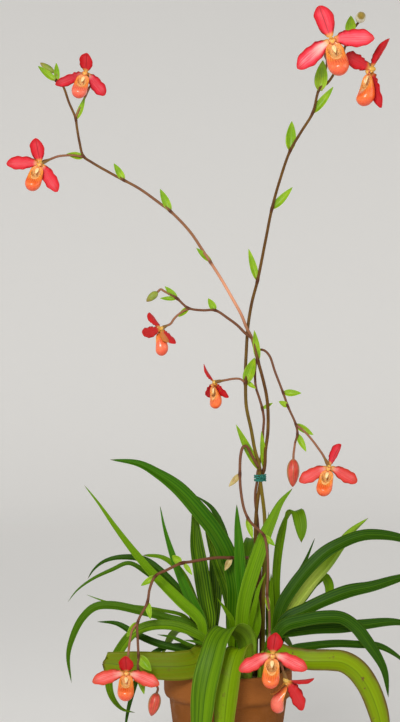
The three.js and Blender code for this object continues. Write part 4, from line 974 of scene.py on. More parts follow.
def lip_finish(nodes):
    """Pouch: orange-red with fine red lines down from the mouth, gold side lobes ribbed with red, and a gold
    throat spotted with red, darkened deeper inside as painted shade. Tint: seed, gold, inside, pink blush."""
    across, length = nodes.surface()
    seed, gold, inside, blush = nodes.tint()
    settings = bpy.context.scene.orchid_blooms
    drift = nodes.noise(nodes.vector(across, length, seed), 5, 2)
    lines = nodes.step(nodes.math("SINE", nodes.scaled(across, 74, nodes.times(drift, 5))), 0, 1)
    cloud = nodes.mottle(85, 0.3, 0.7)
    upper = nodes.times(nodes.step(length, 0.25, 0.75), 0.65)
    dots = nodes.step(nodes.spots(560), 0.22, 0.38, 0.8, 0)
    colour = nodes.coats(
        settings.lip_red,
        (settings.lip_orange, cloud, 0.5),
        (POUCH_BLUSH, blush),
        (TOE_RED, nodes.step(length, 0, 0.35, 0.6, 0)),
        (POUCH_LINE, lines, upper),
        (LOBE_GOLD, gold, 0.85),
        (LOBE_RIB, gold, nodes.times(lines, 0.6)),
        (nodes.mix(dots, THROAT_GOLD, THROAT_DOT), inside),
        # painted shade: the throat darkens deeper into the pouch
        (THROAT_PAINTED_SHADE, inside, nodes.step(length, 0.3, 0.85, 0.45, 0)),
    )
    return {
        "Base Color": colour,
        "Roughness": nodes.scaled(cloud, 0.1, 0.24),
        "Specular IOR Level": 0.5,
        "Coat Weight": 0.25,
        "Coat Roughness": 0.15,
        "bump": (nodes.scaled(nodes.group(GRAIN, scale=500), 0.4, nodes.times(lines, upper)), 0.35, 0.3),
        **soft(0.1, (1, 0.25, 0.08)),
    }


COLUMN_GOLD = (0.68, 0.33, 0.04)
COLUMN_LIGHT = (0.8, 0.47, 0.1)
COLUMN_PINK = (0.6, 0.09, 0.05)
COLUMN_GREEN = (0.3, 0.42, 0.08)
CREAM = (0.9, 0.7, 0.36)


def column_finish(nodes):
    """Column, shield and tongue: golden, pink towards the edge, waxy. Tint: pink, green, cream."""
    _, length = nodes.surface()
    pink, green, cream, _ = nodes.tint()
    colour = nodes.coats(
        nodes.mix(nodes.mottle(260, 0.35, 0.65), COLUMN_GOLD, COLUMN_LIGHT),
        (COLUMN_PINK, pink, nodes.step(length, 0.45, 0.95)),
        (COLUMN_GREEN, green),
        (CREAM, cream),
    )
    return {
        "Base Color": colour,
        "Roughness": 0.35,
        "bump": (nodes.group(GRAIN, scale=1500), 0.25, 0.1),
        **soft(0.2, (1, 0.6, 0.2)),
    }


BUD_GREEN = (0.17, 0.24, 0.012)
BUD_LIGHT = (0.3, 0.34, 0.03)
BUD_LINE = (0.09, 0.13, 0.01)
BUD_TIP = (0.28, 0.1, 0.03)
BUD_SEAM = (0.5, 0.44, 0.26)
BUD_FACE = (0.3, 0.2, 0.012)
# the down's own pale colour, with a painted sheen at the bud's rim
BUD_DOWN_SHEEN = (0.72, 0.66, 0.5)
BUD_RED = (0.46, 0.03, 0.015)
BUD_CORAL = (0.66, 0.07, 0.035)
BUD_VEIN = (0.26, 0.012, 0.016)
BUD_FLANK = (0.32, 0.2, 0.03)
BUD_FOOT = (0.3, 0.18, 0.07)


def green_bud_finish(nodes):
    """Closed green bud: lined skin, a pale seam where the sepals meet, reddish towards the tip. Tint: share
    of a pale ring round the middle, the down's own colour with a painted sheen where the down is seen at
    the bud's rim, with an olive face before it."""
    across, length = nodes.surface()
    ring, *_ = nodes.tint()
    middle = nodes.times(nodes.step(length, 0.2, 0.36), nodes.step(length, 0.66, 0.8, 1, 0))
    colour = nodes.coats(
        nodes.mix(nodes.mottle(140, 0.3, 0.7), BUD_GREEN, BUD_LIGHT),
        (BUD_LINE, nodes.group(VEINS, count=8), 0.35),
        (BUD_TIP, nodes.step(length, 0.55, 1, 0, 0.5)),
        (BUD_SEAM, nodes.step(nodes.from_middle(across), 0.03, 0.09, 1, 0), 0.6),
        (BUD_FACE, ring, nodes.step(length, 0.66, 0.84)),
        # painted sheen of the down round the middle, where the bud's rim is seen
        (BUD_DOWN_SHEEN, ring, middle),
    )
    return {
        "Base Color": colour,
        "Roughness": 0.48,
        "Sheen Weight": 0.15,
        "bump": (nodes.group(GRAIN, scale=1100), 0.3, 0.15),
    }


def red_bud_finish(nodes):
    """Closed red bud: red face with fine lines, olive flanks and a brown foot."""
    across, length = nodes.surface()
    away = nodes.from_middle(across)
    edge = nodes.most(nodes.step(away, 0.12, 0.32, 1, 0), nodes.step(away, 0.43, 0.5, 0, 0.3))
    colour = nodes.coats(
        nodes.mix(nodes.mottle(150, 0.3, 0.7), BUD_RED, BUD_CORAL),
        (BUD_VEIN, nodes.group(VEINS, count=9), 0.45),
        (BUD_FLANK, edge, 0.75),
        (BUD_FOOT, nodes.step(length, 0, 0.1, 0.8, 0)),
    )
    return {
        "Base Color": colour,
        "Roughness": 0.38,
        "Sheen Weight": 0.12,
        "bump": (nodes.group(GRAIN, scale=1200), 0.3, 0.15),
    }


LIME = (0.68, 0.56, 0.44)
CLAY_SPECK = (0.1, 0.035, 0.015)
SHADE_TO_LIGHT_HEIGHTS = (0.112, 0.118)  # where the painted shade of the body gives way to the painted light of the band, in metres


def pot_finish(nodes):
    """Fired clay: warm brown with darker and paler clouds, lime bloom, sandy grain and thrown rings. The rim
    band is painted lighter as painted light from above, and the body darker towards the foot as painted
    shade.
    """
    clay = bpy.context.scene.orchid_pot.clay
    dark = tuple(c * 0.7 for c in clay)
    height = nodes.height()
    grains = nodes.mottle(800, 0.42, 0.6)
    lime = nodes.times(nodes.mottle(24, 0.56, 0.8), 0.4)
    rings = nodes.times(nodes.noise(nodes.place(), 12, 2), 9)
    rings = nodes.math("SINE", nodes.scaled(height, 2600, rings))
    colour = nodes.coats(
        nodes.mix(nodes.mottle(16, 0.3, 0.7), clay, tuple(min(1, c * 1.3 + 0.012) for c in clay)),
        (dark, nodes.mottle(34, 0.5, 0.75), 0.5),
        (LIME, lime, grains),
        # painted light: the rim band is lighter, as if lit from above
        (tuple(min(1, c * 1.5 + 0.008) for c in clay), nodes.step(height, *SHADE_TO_LIGHT_HEIGHTS, 0, 0.7)),
        # painted shade: the body darkens towards the foot
        (dark, nodes.step(height, 0, SHADE_TO_LIGHT_HEIGHTS[0], 0.6, 0)),
        (CLAY_SPECK, nodes.step(nodes.spots(420), 0.08, 0.16, 0.55, 0)),
    )
    return {
        "Base Color": colour,
        "Roughness": nodes.scaled(grains, 0.15, 0.74),
        "Specular IOR Level": 0.15,
        "bump": (nodes.scaled(rings, 0.18, nodes.group(GRAIN, scale=650)), 0.4, 0.35),
    }


BARK_DARK = (0.05, 0.026, 0.012)
BARK_RED = (0.26, 0.13, 0.055)
BARK_FIBRE = (0.34, 0.22, 0.12)
BARK_GAP = (0.02, 0.011, 0.006)


def bark_finish(nodes):
    """Bark and compost: dark to reddish brown chips, rough, with pale fibres and dark gaps."""
    shade, *_ = nodes.tint()
    fibre = nodes.noise(nodes.place(), 260, 5, 0.7)
    colour = nodes.coats(
        nodes.mix(shade, BARK_DARK, BARK_RED),
        (BARK_FIBRE, nodes.step(fibre, 0.35, 0.7, 0, 0.7)),
        (BARK_GAP, nodes.step(fibre, 0.3, 0.42, 0.8, 0)),
    )
    return {"Base Color": colour, "Roughness": 0.9, "bump": (fibre, 0.7, 0.8)}


TWINE_DEEP = (0.004, 0.075, 0.05)
TWINE_TEAL = (0.012, 0.26, 0.19)
TWINE_LIGHT = (0.05, 0.4, 0.3)


def twine_finish(nodes):
    """Teal twine: twisted strands with lighter fibres."""
    across, length = nodes.surface()
    twist = nodes.math("SINE", nodes.scaled(length, 900, nodes.times(across, 6.2832)))
    strands = nodes.mix(nodes.step(twist, -0.6, 0.8), TWINE_DEEP, TWINE_TEAL)
    colour = nodes.mix(nodes.mottle(700, 0.5, 0.7), strands, TWINE_LIGHT)
    return {"Base Color": colour, "Roughness": 0.6, "bump": (twist, 0.6, 0.3)}


def floor_finish(nodes):
    """Pale plain paper that glows a little, more at the far side."""
    tone = bpy.context.scene.orchid_stage.floor_colour[:3]
    distance = nodes.add("VectorMath", {0: nodes.place()}, operation="LENGTH").outputs["Value"]
    return {
        "Base Color": tone,
        "Emission Color": nodes.mix(nodes.step(distance, 1, 4.2), tuple(c * 0.5 for c in tone), tone),
        "Emission Strength": 0.45,
        "Roughness": 0.85,
        "Specular IOR Level": 0.2,
    }


# ---- Pot and potting mix

BAND_SHARE = 34 / 145  # height of the rim band as a share of the pot's
BAND_STEP = 6.5
FOOT_SHARE = 0.75  # foot radius as a share of the rim's
WALL = 7
FLOOR_THICKNESS = 10
DRAIN_RADIUS = 11
FOOT_EDGE = (0.5, 3)  # the wall starts this far out of the foot and this high
BAND_SLOPE = (2, 1.5, 6)  # the band starts this far below its foot, this far in, and is full this far above
ROUNDING = 2.5  # of the profile's corners
WOBBLE = 0.35  # how far the pot is from round
POT_RINGS = 160
POT_SIDES = 144
MIX_TOP = 130
MIX_RELIEF = 3
MIX_LUMPS = 0.45
MIX_FOOT, MIX_SHOULDER = 102, 120  # heights of the soil's underside and of its bevel
MIX_RINGS = 44
MIX_SIDES = 120


def rounded(profile, radius, steps=5):
    """An open profile whose inner corners are rounded: each is the curve a(1-t)^2 + 2 p t(1-t) + b t^2 from a
    to b, the points at the radius (at most 0.45 of the side) from the corner p along its two sides."""
    profile = np.asarray(profile, float)
    corner, before, after = profile[1:-1], profile[:-2] - profile[1:-1], profile[2:] - profile[1:-1]
    lengths = [np.linalg.norm(side, axis=1, keepdims=True) for side in (before, after)]
    reach = [np.minimum(radius / length, 0.45) for length in lengths]
    a, b = corner + before * reach[0], corner + after * reach[1]
    t = np.linspace(0, 1, steps)[:, None]
    curves = a[:, None] * (1 - t) ** 2 + 2 * corner[:, None] * t * (1 - t) + b[:, None] * t**2
    return np.vstack((profile[:1], curves.reshape(-1, 2), profile[-1:]))


def revolved(profile, sides, wobble, seed):
    """A profile of (radius, height) turned round Z. Slow waves change each radius but the drain hole's."""
    draw = np.random.default_rng(seed)
    angles = around(sides)
    phases = draw.uniform(0, 2 * np.pi, 3)
    waves = sum(np.sin(n * angles + phases[n - 2] + 0.02 * n * profile[:, 1:2]) / n for n in (2, 3, 4))
    radii = profile[:, :1] + wobble * waves * (profile[:, :1] > DRAIN_RADIUS + 1)
    heights = np.broadcast_to(profile[:, 1:2], radii.shape)
    return stacked(radii * np.sin(angles), -radii * np.cos(angles), heights)


def pot_patch(settings):
    """The pot's wall as one closed loop of profile turned round the axis: foot, body, rim band, inside."""
    height, rim = settings.height / MM, settings.rim_radius / MM
    band_foot = height * (1 - BAND_SHARE)
    body_top = rim - BAND_STEP
    inner_band = body_top - WALL
    foot = rim * FOOT_SHARE
    profile = rounded(
        [
            (DRAIN_RADIUS, FLOOR_THICKNESS / 2),
            (DRAIN_RADIUS, 0),
            (foot, 0),
            (foot + FOOT_EDGE[0], FOOT_EDGE[1]),
            (body_top, band_foot - BAND_SLOPE[0]),
            (rim - BAND_SLOPE[1], band_foot),
            (rim, band_foot + BAND_SLOPE[2]),
            (rim, height),
            (rim - WALL, height),
            (inner_band, band_foot),
            (foot - WALL, FLOOR_THICKNESS),
            (DRAIN_RADIUS, FLOOR_THICKNESS),
            (DRAIN_RADIUS, FLOOR_THICKNESS / 2),
        ],
        ROUNDING,
    )
    dense = resample(np.pad(profile, ((0, 0), (0, 1))), np.linspace(0, 1, POT_RINGS + 1)[:-1])[:, :2]
    points = revolved(dense, POT_SIDES, WOBBLE, 4).transpose(1, 0, 2)
    uv = np.stack(np.meshgrid(np.linspace(0, 1, POT_RINGS), np.linspace(0, 1, POT_SIDES)), axis=-1)
    closed = patch(np.vstack((points, points[:1])), np.vstack((uv, uv[:1])))
    return weld_ends(closed, len(dense))


def weld_ends(closed, columns):
    """Turns a patch whose last row repeats its first into a ring of rows: no end fans, no doubled points."""
    count = len(closed["points"]) - 2 - columns
    quads = np.where(closed["quads"] >= count, closed["quads"] - count, closed["quads"])
    kept = {key: closed[key][:count] for key in ("points", "uv", "tint", "under")}
    return {**closed, **kept, "quads": quads, "triangles": NO_TRIANGLES}


def mix_height(x, y):
    """Height of the soil: the top plus the mean of two waves round and across the pot, none at its middle."""
    angle, radius = np.arctan2(x, -y), np.hypot(x, y)
    waves = np.sin(5 * angle + radius / 9) + np.cos(9 * angle - radius / 7)
    return MIX_TOP + MIX_RELIEF * 0.5 * waves * ease(radius, 2, 30)


def mix_patch(settings):
    """The soil: a plug inside the pot whose top is lumpy, from polar rings with the height of mix_height."""
    rim = settings.rim_radius / MM
    edge = rim - WALL - BAND_STEP * 0.55
    under, wall = np.linspace(20, edge - 16, 3), np.linspace(edge - 1.5, edge, 3)
    radii = np.concatenate((under, wall, edge * np.linspace(0.98, 0.01, MIX_RINGS)))
    low = np.concatenate((np.full(3, MIX_FOOT), np.full(2, MIX_SHOULDER), [MIX_TOP - 1], np.zeros(MIX_RINGS)))
    angles = around(MIX_SIDES)
    x, y = radii[:, None] * np.sin(angles), -radii[:, None] * np.cos(angles)
    z = np.where(low[:, None] > 0, low[:, None], mix_height(x, y))
    draw = np.random.default_rng(11)
    z[6:] += draw.normal(0, MIX_LUMPS, z[6:].shape)
    tint = np.zeros((*z.shape, 4))
    tint[..., 0] = draw.random(z.shape) * 0.5
    return patch(stacked(x, y, z), (0, 0), tint)


LUMP = 26  # points of a bark chip
SMALL_CHIP, LARGE_CHIP = (3, 2, 1), (8.5, 5, 2.4)
CHIP_ROUGHNESS = 0.14
CHIP_TILT = 0.28
CHIP_MARGIN = 12  # between the chips and the pot's wall


def turned_pair(a, b, angle):
    """Two coordinates of every chip after its own turn in their plane: a cos - b sin and a sin + b cos."""
    cos, sin = np.cos(angle)[:, None], np.sin(angle)[:, None]
    return a * cos - b * sin, a * sin + b * cos


def chip_patches(settings):
    """Bark chips: one blocky lump for each, stretched, turned and laid on the soil."""
    draw = np.random.default_rng(23)
    count, rim = settings.chips, settings.rim_radius / MM
    grid = np.stack(np.meshgrid(*[(-1, 0, 1)] * 3, indexing="ij"), axis=-1).reshape(-1, 3)
    lump = np.array(grid[np.any(grid != 0, axis=1)], float)
    rounded_lump = lump / np.linalg.norm(lump, axis=1, keepdims=True) ** 0.45
    index = {tuple(p): i for i, p in enumerate(lump.astype(int))}
    faces = []
    for axis in range(3):
        for side in (-1, 1):
            for a, b in ((-1, -1), (-1, 0), (0, -1), (0, 0)):
                ring = [(a, b), (a + 1, b), (a + 1, b + 1), (a, b + 1)][::side]
                corners = [np.insert(pair, axis, side) for pair in ring]
                order = corners if axis != 1 else corners[::-1]
                faces.append([index[tuple(c)] for c in order])
    spread = np.sqrt(draw.random(count)) * (rim - WALL - CHIP_MARGIN)
    angle = draw.uniform(0, 2 * np.pi, count)
    x, y = spread * np.sin(angle), -spread * np.cos(angle)
    size = draw.uniform(SMALL_CHIP, LARGE_CHIP, (count, 3))
    yaw, tip = draw.uniform(0, np.pi, count), draw.normal(0, CHIP_TILT, count)
    shape = rounded_lump * (1 + draw.normal(0, CHIP_ROUGHNESS, (count, LUMP, 3))) * size[:, None]
    flat, rise = turned_pair(shape[..., 0], shape[..., 2], tip)
    turned_x, turned_y = turned_pair(flat, shape[..., 1], yaw)
    centre = np.stack((x, y, mix_height(x, y) + size[:, 2] * 0.55), axis=1)
    points = stacked(turned_x, turned_y, rise) + centre[:, None]
    tint = np.zeros((count * LUMP, 4))
    tint[:, 0] = np.repeat(draw.random(count), LUMP)
    offsets = (np.arange(count) * LUMP)[:, None, None]
    quads = (offsets + np.array(faces)).reshape(-1, 4)
    return [bare_patch(points.reshape(-1, 3), quads, NO_TRIANGLES, (0, 0), tint)]


# ---- Leaves

ROOT_HEIGHT = MIX_TOP + 9
ROOT_STEP = 4
CORE_RADIUS = 7.5
CORE_TOP = 172
CORE_SIDES = 24
LEAF_STEP = 3.5  # between the rows of a blade
FOLD = 20
FLAT_FOLD = 9  # of a broad old leaf
SHEATH_FOLD, SHEATH_LENGTH = 38, 30  # degrees that the fold closes by at the root, fading over this length
RIPPLE = 0.055
TORN, BROAD = 0.3, 0.6  # a blade blunter than these has a ragged end, or is a broad old one
ACROSS = 13  # points across a blade's upper side
LEAF_TWIST = (0.72, 0.84)  # the part of a blade's length over which a twisted one turns


def leaf_line(blade, core, order):
    """The leaf's midrib: from inside the fan's core, up the sheath, then through the seen points."""
    seen = place(blade["route"])
    root = np.array((core[0], core[1], ROOT_HEIGHT + ROOT_STEP * order), float)
    heading = (seen[0] - root) * (1, 1, 0)
    root = root + 2 * unit(heading)
    sheath = root + 0.3 * (seen[0] - root)
    sheath[2] = root[2] + 0.45 * (seen[0][2] - root[2])
    return smooth_line(np.vstack((root, sheath, seen)))


def leaf_width(blade, t):
    """Full width at t: half at the root, full from a quarter of the length, then falling as a parabola, or
    nearly straight where the taper starts early, with the last bit rounded off."""
    taper, blunt = blade["taper"], blade["blunt"]
    fall = np.maximum(0, (t - taper) / (1 - taper)) ** (1.2 if taper < 0.5 else 2)
    end = np.sqrt(np.clip((1 - t) / np.interp(blunt, (0.05, 0.5, 0.75), (0.02, 0.05, 0.012)), 0.01, 1))
    return blade["width"] * np.minimum(1, 0.5 + 2 * t) * (1 - (1 - blunt) * fall) * end


def cross_section(thickness, groove=0.3, keel=0.5):
    """Shares across a blade, up one side and back down the other, with the height of each point above the
    middle surface: half the thickness times sqrt(1 - s^4), a groove above the midrib and a keel below it."""
    upper = np.linspace(-1, 1, ACROSS)
    shares = np.concatenate((upper, upper[-2:0:-1]))
    below = np.concatenate((np.zeros(ACROSS), np.ones(ACROSS - 2)))
    skin = thickness / 2 * np.sqrt(np.clip(1 - shares**4, 0, 1))
    lift = np.where(below > 0, -skin - keel * bump(shares, 0, 0.12), skin - groove * bump(shares, 0, 0.1))
    edge = np.abs(shares) > 0.999
    return shares, np.where(edge, 0, lift), np.where(edge, 0.5, below)


def leaf_patch(blade, core, order, seed, settings):
    """A strap leaf. At length t and share s across it, the point is the midrib + side s w cos(fold) +
    up (w sin(fold) |s|^1.3 + skin), w being half the width. The fold closes towards the sheath, the margins
    ripple slowly, the side direction keeps the face turned to the sky or as the table says, and the end of a
    torn blade is ragged."""
    draw = np.random.default_rng(seed)
    full = leaf_line(blade, core, order)
    total = arc_lengths(full)[-1]
    steps = int(np.clip(total / LEAF_STEP, 24, 110))
    t = np.linspace(0, 1, steps)
    line = resample(full, t)
    tangents = unit(np.gradient(line, axis=0))
    facing = np.radians(blade["face"])
    if blade["across"]:
        turn = ease(t, *LEAF_TWIST)[:, None]
        side = np.array(blade["across"], float) * (1 - turn) + turn * np.array(blade["across_end"])
    else:
        side = np.cross(tangents, (0, -np.sin(facing), np.cos(facing)))
    side = unit(side - tangents * along(side, tangents))
    up = np.cross(side, tangents)
    half = leaf_width(blade, t)[:, None] / 2
    shares, skin, below = cross_section(settings.leaf_thickness / MM)
    length = t[:, None] * total
    fold = FLAT_FOLD if blade["blunt"] > BROAD else FOLD
    fold = fold + SHEATH_FOLD * np.exp(-length / SHEATH_LENGTH) + 5 * np.sin(length / 60 + draw.uniform(0, 6))
    fold = np.radians(fold)
    ripple = np.abs(shares) ** 3 * half * RIPPLE
    phase = draw.uniform(0, 6, 2)
    wave = np.where(shares > 0, np.sin(length / 13 + phase[0]), np.sin(length / 16 + phase[1]))
    across_share = shares * half * np.cos(fold) * (1 + 0.015 * np.sin(length / 9 + phase[0] + 3 * shares))
    rise = half * np.sin(fold) * np.abs(shares) ** 1.3 + ripple * wave
    skin = skin * np.minimum(1, half / 3)
    points = line[:, None] + side[:, None] * across_share[..., None] + up[:, None] * (rise + skin)[..., None]
    if blade["blunt"] > TORN:
        ragged = np.sin(shares * 9 + phase[0]) + 0.7 * np.sin(shares * 23 + phase[1])
        points = points + tangents[:, None] * (ragged * ease(t, 0.9, 1)[:, None])[..., None]
    uv = stacked((shares + 1) / 2, t[:, None])
    return patch(points, uv, LEAF_LOOKS[blade["look"]], below)


def core_patch(core):
    """The short stem in a fan: a cone with a rounded top, r = R (1 - 0.5 h^1.5), slightly fluted."""
    heights = np.linspace(MIX_TOP - 12, CORE_TOP, 30)[:, None]
    h = (heights - heights[0]) / np.ptp(heights)
    radii = CORE_RADIUS * (1 - 0.5 * h**1.5) * np.sqrt(np.clip((1 - h) * 12, 0.02, 1))
    line = np.hstack((np.full((30, 2), core, float), heights))
    return tube(line, radii[:, 0], CORE_SIDES, 1 + 0.05 * np.cos(5 * around(CORE_SIDES)), finish=1)


# ---- Spikes and bracts

BRACT, STEM_HAIR = 1, 2  # numbers of the finishes after the stem's own
STEM_SIDES = 14
ROOT_RISES = (-14, 8)  # a spike comes up straight between these heights over the top of the mix
PEDICEL_RADII = (1.35, 1.5)
THIN_STEM = 2.05  # first radius below which a stem is dark red, and a pedicel paler
PEDICEL_LEAD = 5
HAIRS_PER_MM = 1.6


def stem_patches(points, first, last, nodes_at, tint, seed):
    """A stem through the points: its radius runs evenly from first to last and swells by a quarter round each
    node, and short hairs stand out from it. It is greener low down, redder above and dark at its nodes, and
    where it has a pale share, a painted highlight shows in one stretch past its middle."""
    line = smooth_line(points, 10)
    line = resample(line, np.linspace(0, 1, max(24, int(arc_lengths(line)[-1] / 2.2))))
    t = np.linspace(0, 1, len(line))
    radii = first + (last - first) * t
    knots = np.zeros(len(line))
    for spot in nodes_at:
        away = np.linalg.norm(line - spot, axis=1)
        radii = radii + radii * 0.24 * bump(away, 0, 3.2)
        knots = np.maximum(knots, bump(away, 0, 2.8))
    colour = np.zeros((len(line), STEM_SIDES, 4))
    colour[..., :3] = tint
    colour[..., 0] *= (0.6 + 0.4 * np.sin(t * 9 + seed))[:, None]
    colour[..., 0] += 0.35 * ease(t, 0.2, 0.7)[:, None] * colour[..., 2]
    colour[..., 2] *= 1 - 0.9 * ease(t, 0.15, 0.6)[:, None]
    # painted highlight: the pale share shows only on one lit stretch past the middle
    colour[..., 1] *= (bump(t, 0.58, 0.055) + 0.25 * bump(t, 0.7, 0.12))[:, None]
    if first < THIN_STEM:
        colour[..., :3] = THIN_TINT if first > PEDICEL_RADII[0] else PEDICEL_TINT
    colour[..., :3] += (np.array(KNOT_TINT) - colour[..., :3]) * knots[:, None, None]
    skin = tube(line, radii, STEM_SIDES, tint=colour)
    count = int(arc_lengths(line)[-1] * HAIRS_PER_MM)
    draw = np.random.default_rng(seed)
    return [skin, down(skin, count, seed, draw, 0.25, (0.3, 0.7), tint=(0.3, 0, 0, 0), finish=STEM_HAIR)]


def bract_patch(foot, tip, width, dry, seed):
    """A bract folded round its stem. At t along it and share s across, w = half width * sin(pi t^0.72)^0.75,
    the point is on the bowed middle line + side w s + up w (0.7 |s|^1.6 - 0.3), and the margins ripple."""
    draw = np.random.default_rng(seed)
    foot, tip = place((foot, tip))
    run = tip - foot
    length = np.linalg.norm(run)
    side = unit(np.cross(run, (0, -1, 0.3)))
    up = unit(np.cross(side, run))
    t = np.linspace(0, 1, 22)[:, None]
    shares, skin, below = cross_section(0.8, 0.1, 0.2)
    half = width / 2 * np.maximum(np.sin(np.pi * np.clip(t, 0.03, 0.995) ** 0.72) ** 0.75, 0.04)
    bow, lift = 0.08 * np.sin(np.pi * t), draw.normal(0, 0.03)
    middle = foot + run * t - up * (bow * length) + up * (lift * length * t**3)
    rise = half * (0.7 * np.abs(shares) ** 1.6 - 0.3) + skin * np.minimum(1, half / 1.5)
    rise = rise + 0.06 * half * np.sin(7 * t + 9 * shares) * np.abs(shares) ** 3
    points = middle[:, None] + side * (half * shares)[..., None] + up * rise[..., None]
    uv = stacked((shares + 1) / 2, t)
    return patch(points, uv, (dry, 0, 0, 0), below, finish=BRACT)


def spike_patches(name, seed):
    """All that one spike carries up to its flowers: stems, bracts and pedicels."""
    grown = SPIKES[name]
    feet = place([bract["foot"] for bract in grown["bracts"]])
    made = []
    for number, branch in enumerate(grown["stems"]):
        points = place(branch["route"])
        if branch["root"]:
            root = [(*branch["root"], MIX_TOP + rise) for rise in ROOT_RISES]
            points = np.vstack((root, points))
        made += stem_patches(points, *branch["radii"], feet, SPIKE_TINTS[name], seed + number)
    for number, bract in enumerate(grown["bracts"]):
        made.append(bract_patch(**bract, seed=seed + 40 + number))
    for number, flower in enumerate(BLOOMS + BUDS):
        if flower["spike"] == name and "pedicel" in flower:
            end, aim = place((flower["seat"], flower.get("at", flower.get("tip"))))
            lead = end - unit(aim - end) * PEDICEL_LEAD
            route = np.vstack((place(flower["pedicel"]), lead, end))
            made += stem_patches(route, *PEDICEL_RADII, feet, PEDICEL_TINT, seed + 80 + number)
    return made


# ---- Blooms
# A bloom of size 1 faces the front (-Y) with its column at the origin.

COLUMN_WAX, OVARY_SKIN, BLOOM_HAIR = 1, 2, 3  # numbers of the finishes after the petals' own
PETAL = {"length": 46, "width": 19}
DORSAL = {"length": 36, "width": 20}
SYNSEPAL = {"length": 27, "width": 18}
SYNSEPAL_TINT = (0.1, 0.3, 0.3, 0.6)
SEPAL_WAVE = 0.35


def bloom_matrix(bloom):
    """Turns a bloom by roll about Y, then pitch about X, then yaw about Z, and scales it to its size."""
    yaw, pitch, roll = bloom["turn"]
    return turned("Z", yaw) @ turned("X", pitch) @ turned("Y", roll) * bloom["size"]


def petal_share(u):
    """Share of the full width at u: a narrow claw, widest at 0.58, and a pointed tip, rounded at its end."""
    rising = 0.28 + 0.72 * np.sin(np.clip(u / 0.58, 0, 1) * np.pi / 2)
    falling = np.cos(np.clip((u - 0.58) / 0.42, 0, 1) * np.pi / 2 * 0.94) ** 0.75
    return np.where(u < 0.58, rising, falling) * np.sqrt(np.clip((1 - u) / 0.03, 0.01, 1))


def petal_patch(shape, up, curl, forward, seed, tint, wave, sag=0, twist=0, mirrored=False):
    """A petal along +X that faces the front: z = -sag u^2 + w s, y = -curl (w / width) s^2, w being half the
    width at u. The upper margin is waved and the claw's margins are crimped. It is then turned about its
    length, forward and up, and mirrored for the left side."""
    draw = np.random.default_rng(seed)
    phase = draw.uniform(0, 6, 4)
    u = np.linspace(0, 1, 44)[:, None]
    shares, skin, below = cross_section(0.7, 0.25, 0.3)
    half = petal_share(u) * shape["width"] / 2
    lobes = 1 + 0.1 * np.sin(9 * u) * (shares > 0) + wave * 0.05 * np.sin(23 * u + phase[0] + shares)
    claw = 1.5 * wave * bump(u, 0.2, 0.2) * np.sin(40 * u + phase[1] + 2 * shares)
    crimp = np.abs(shares) ** 3 * (claw + 0.5 * wave * np.sin(17 * u + phase[2]))
    x = 3 + u * (shape["length"] - 3) + 0 * shares
    y = -curl * (half / shape["width"]) * shares**2 - skin * np.minimum(1, half / 2.5) + crimp
    y = y - 0.8 * bump(u, 0.6, 0.35) * bump(shares, 0, 0.5) + 1.2 * u**3 * np.sin(phase[3])
    z = -sag * u**2 + half * shares * lobes
    points = stacked(x, y, z)
    points = points @ (turned("Y", -up) @ turned("Z", -forward) @ turned("X", twist)).T
    if mirrored:
        points = points * (-1, 1, 1)
    uv = stacked((shares + 1) / 2, u)
    return patch(points, uv, tint, below)


def ellipsoid(centre, radii, rows, sides, tint, finish):
    """A closed ellipsoid: rings of radius sin(v) along Y."""
    v = np.linspace(0.04, np.pi - 0.04, rows)[:, None]
    angles = around(sides)
    x, z = np.sin(v) * np.cos(angles), np.sin(v) * np.sin(angles)
    points = stacked(x, -np.cos(v), z) * radii + centre
    uv = around_uv(angles, v / np.pi)
    return patch(points, uv, tint, finish=finish)


COLUMN_RADII = (3, 4.8, 3.2)
ANTHER_RADII = (1.2, 1.6, 1.3)
SHIELD_RADIUS = 3.4
SHIELD_HAIRS = 90
OVARY_SIDES = 24
OVARY_TINT = (0.6, 0.25, 0.25, 0)


def shield_patch(tint, finish):
    """The staminode: a cushion whose outline is a broad heart, r = R (1 + 0.14 sin 3a + 0.1 |cos a|) with a
    notch above, domed towards the front as 1 - rho^2.2."""
    rho = np.concatenate((np.linspace(0.05, 1, 12), np.linspace(0.96, 0.05, 8)))[:, None]
    angles = around(32)
    notch = 0.16 * bump(angles, np.pi / 2, 0.3)
    outline = SHIELD_RADIUS * (1 + 0.14 * np.sin(3 * angles) + 0.1 * np.abs(np.cos(angles)) - notch)
    front = (np.arange(20) < 12)[:, None]
    y = np.where(front, -1.9 * (1 - rho**2.2) - 0.4 * bump(rho, 0.85, 0.12), 0.9 * (1 - rho**2))
    x, z = outline * rho * np.cos(angles), outline * rho * np.sin(angles) * 0.95
    points = stacked(x, -5.6 + y + 0 * angles, -2.6 + z)
    uv = stacked(np.abs(angles / np.pi - 1), rho)
    return patch(points, uv, tint, finish=finish)


def tongue_patch(tint, finish):
    """The pale tongue that hangs from the column into the mouth: a flat drop whose half-width at share t of
    its length is 2.5 sin(pi t^0.6)^0.8, bowed forward in the middle."""
    t = np.linspace(0, 1, 18)[:, None]
    shares, skin, _ = cross_section(1.1, 0.2, 0.2)
    half = 2.5 * np.maximum(np.sin(np.pi * np.clip(t, 0.02, 0.99) ** 0.6) ** 0.8, 0.05)
    y = -6.4 - 4.4 * t - 0.8 * np.sin(np.pi * t) + skin * np.minimum(1, half / 1.5) + 0.6 * shares**2
    points = stacked(-half * shares, y, -7.2 - 8.8 * t)
    uv = stacked((shares + 1) / 2, 0.2 + 0 * t)
    return patch(points, uv, tint, finish=finish)


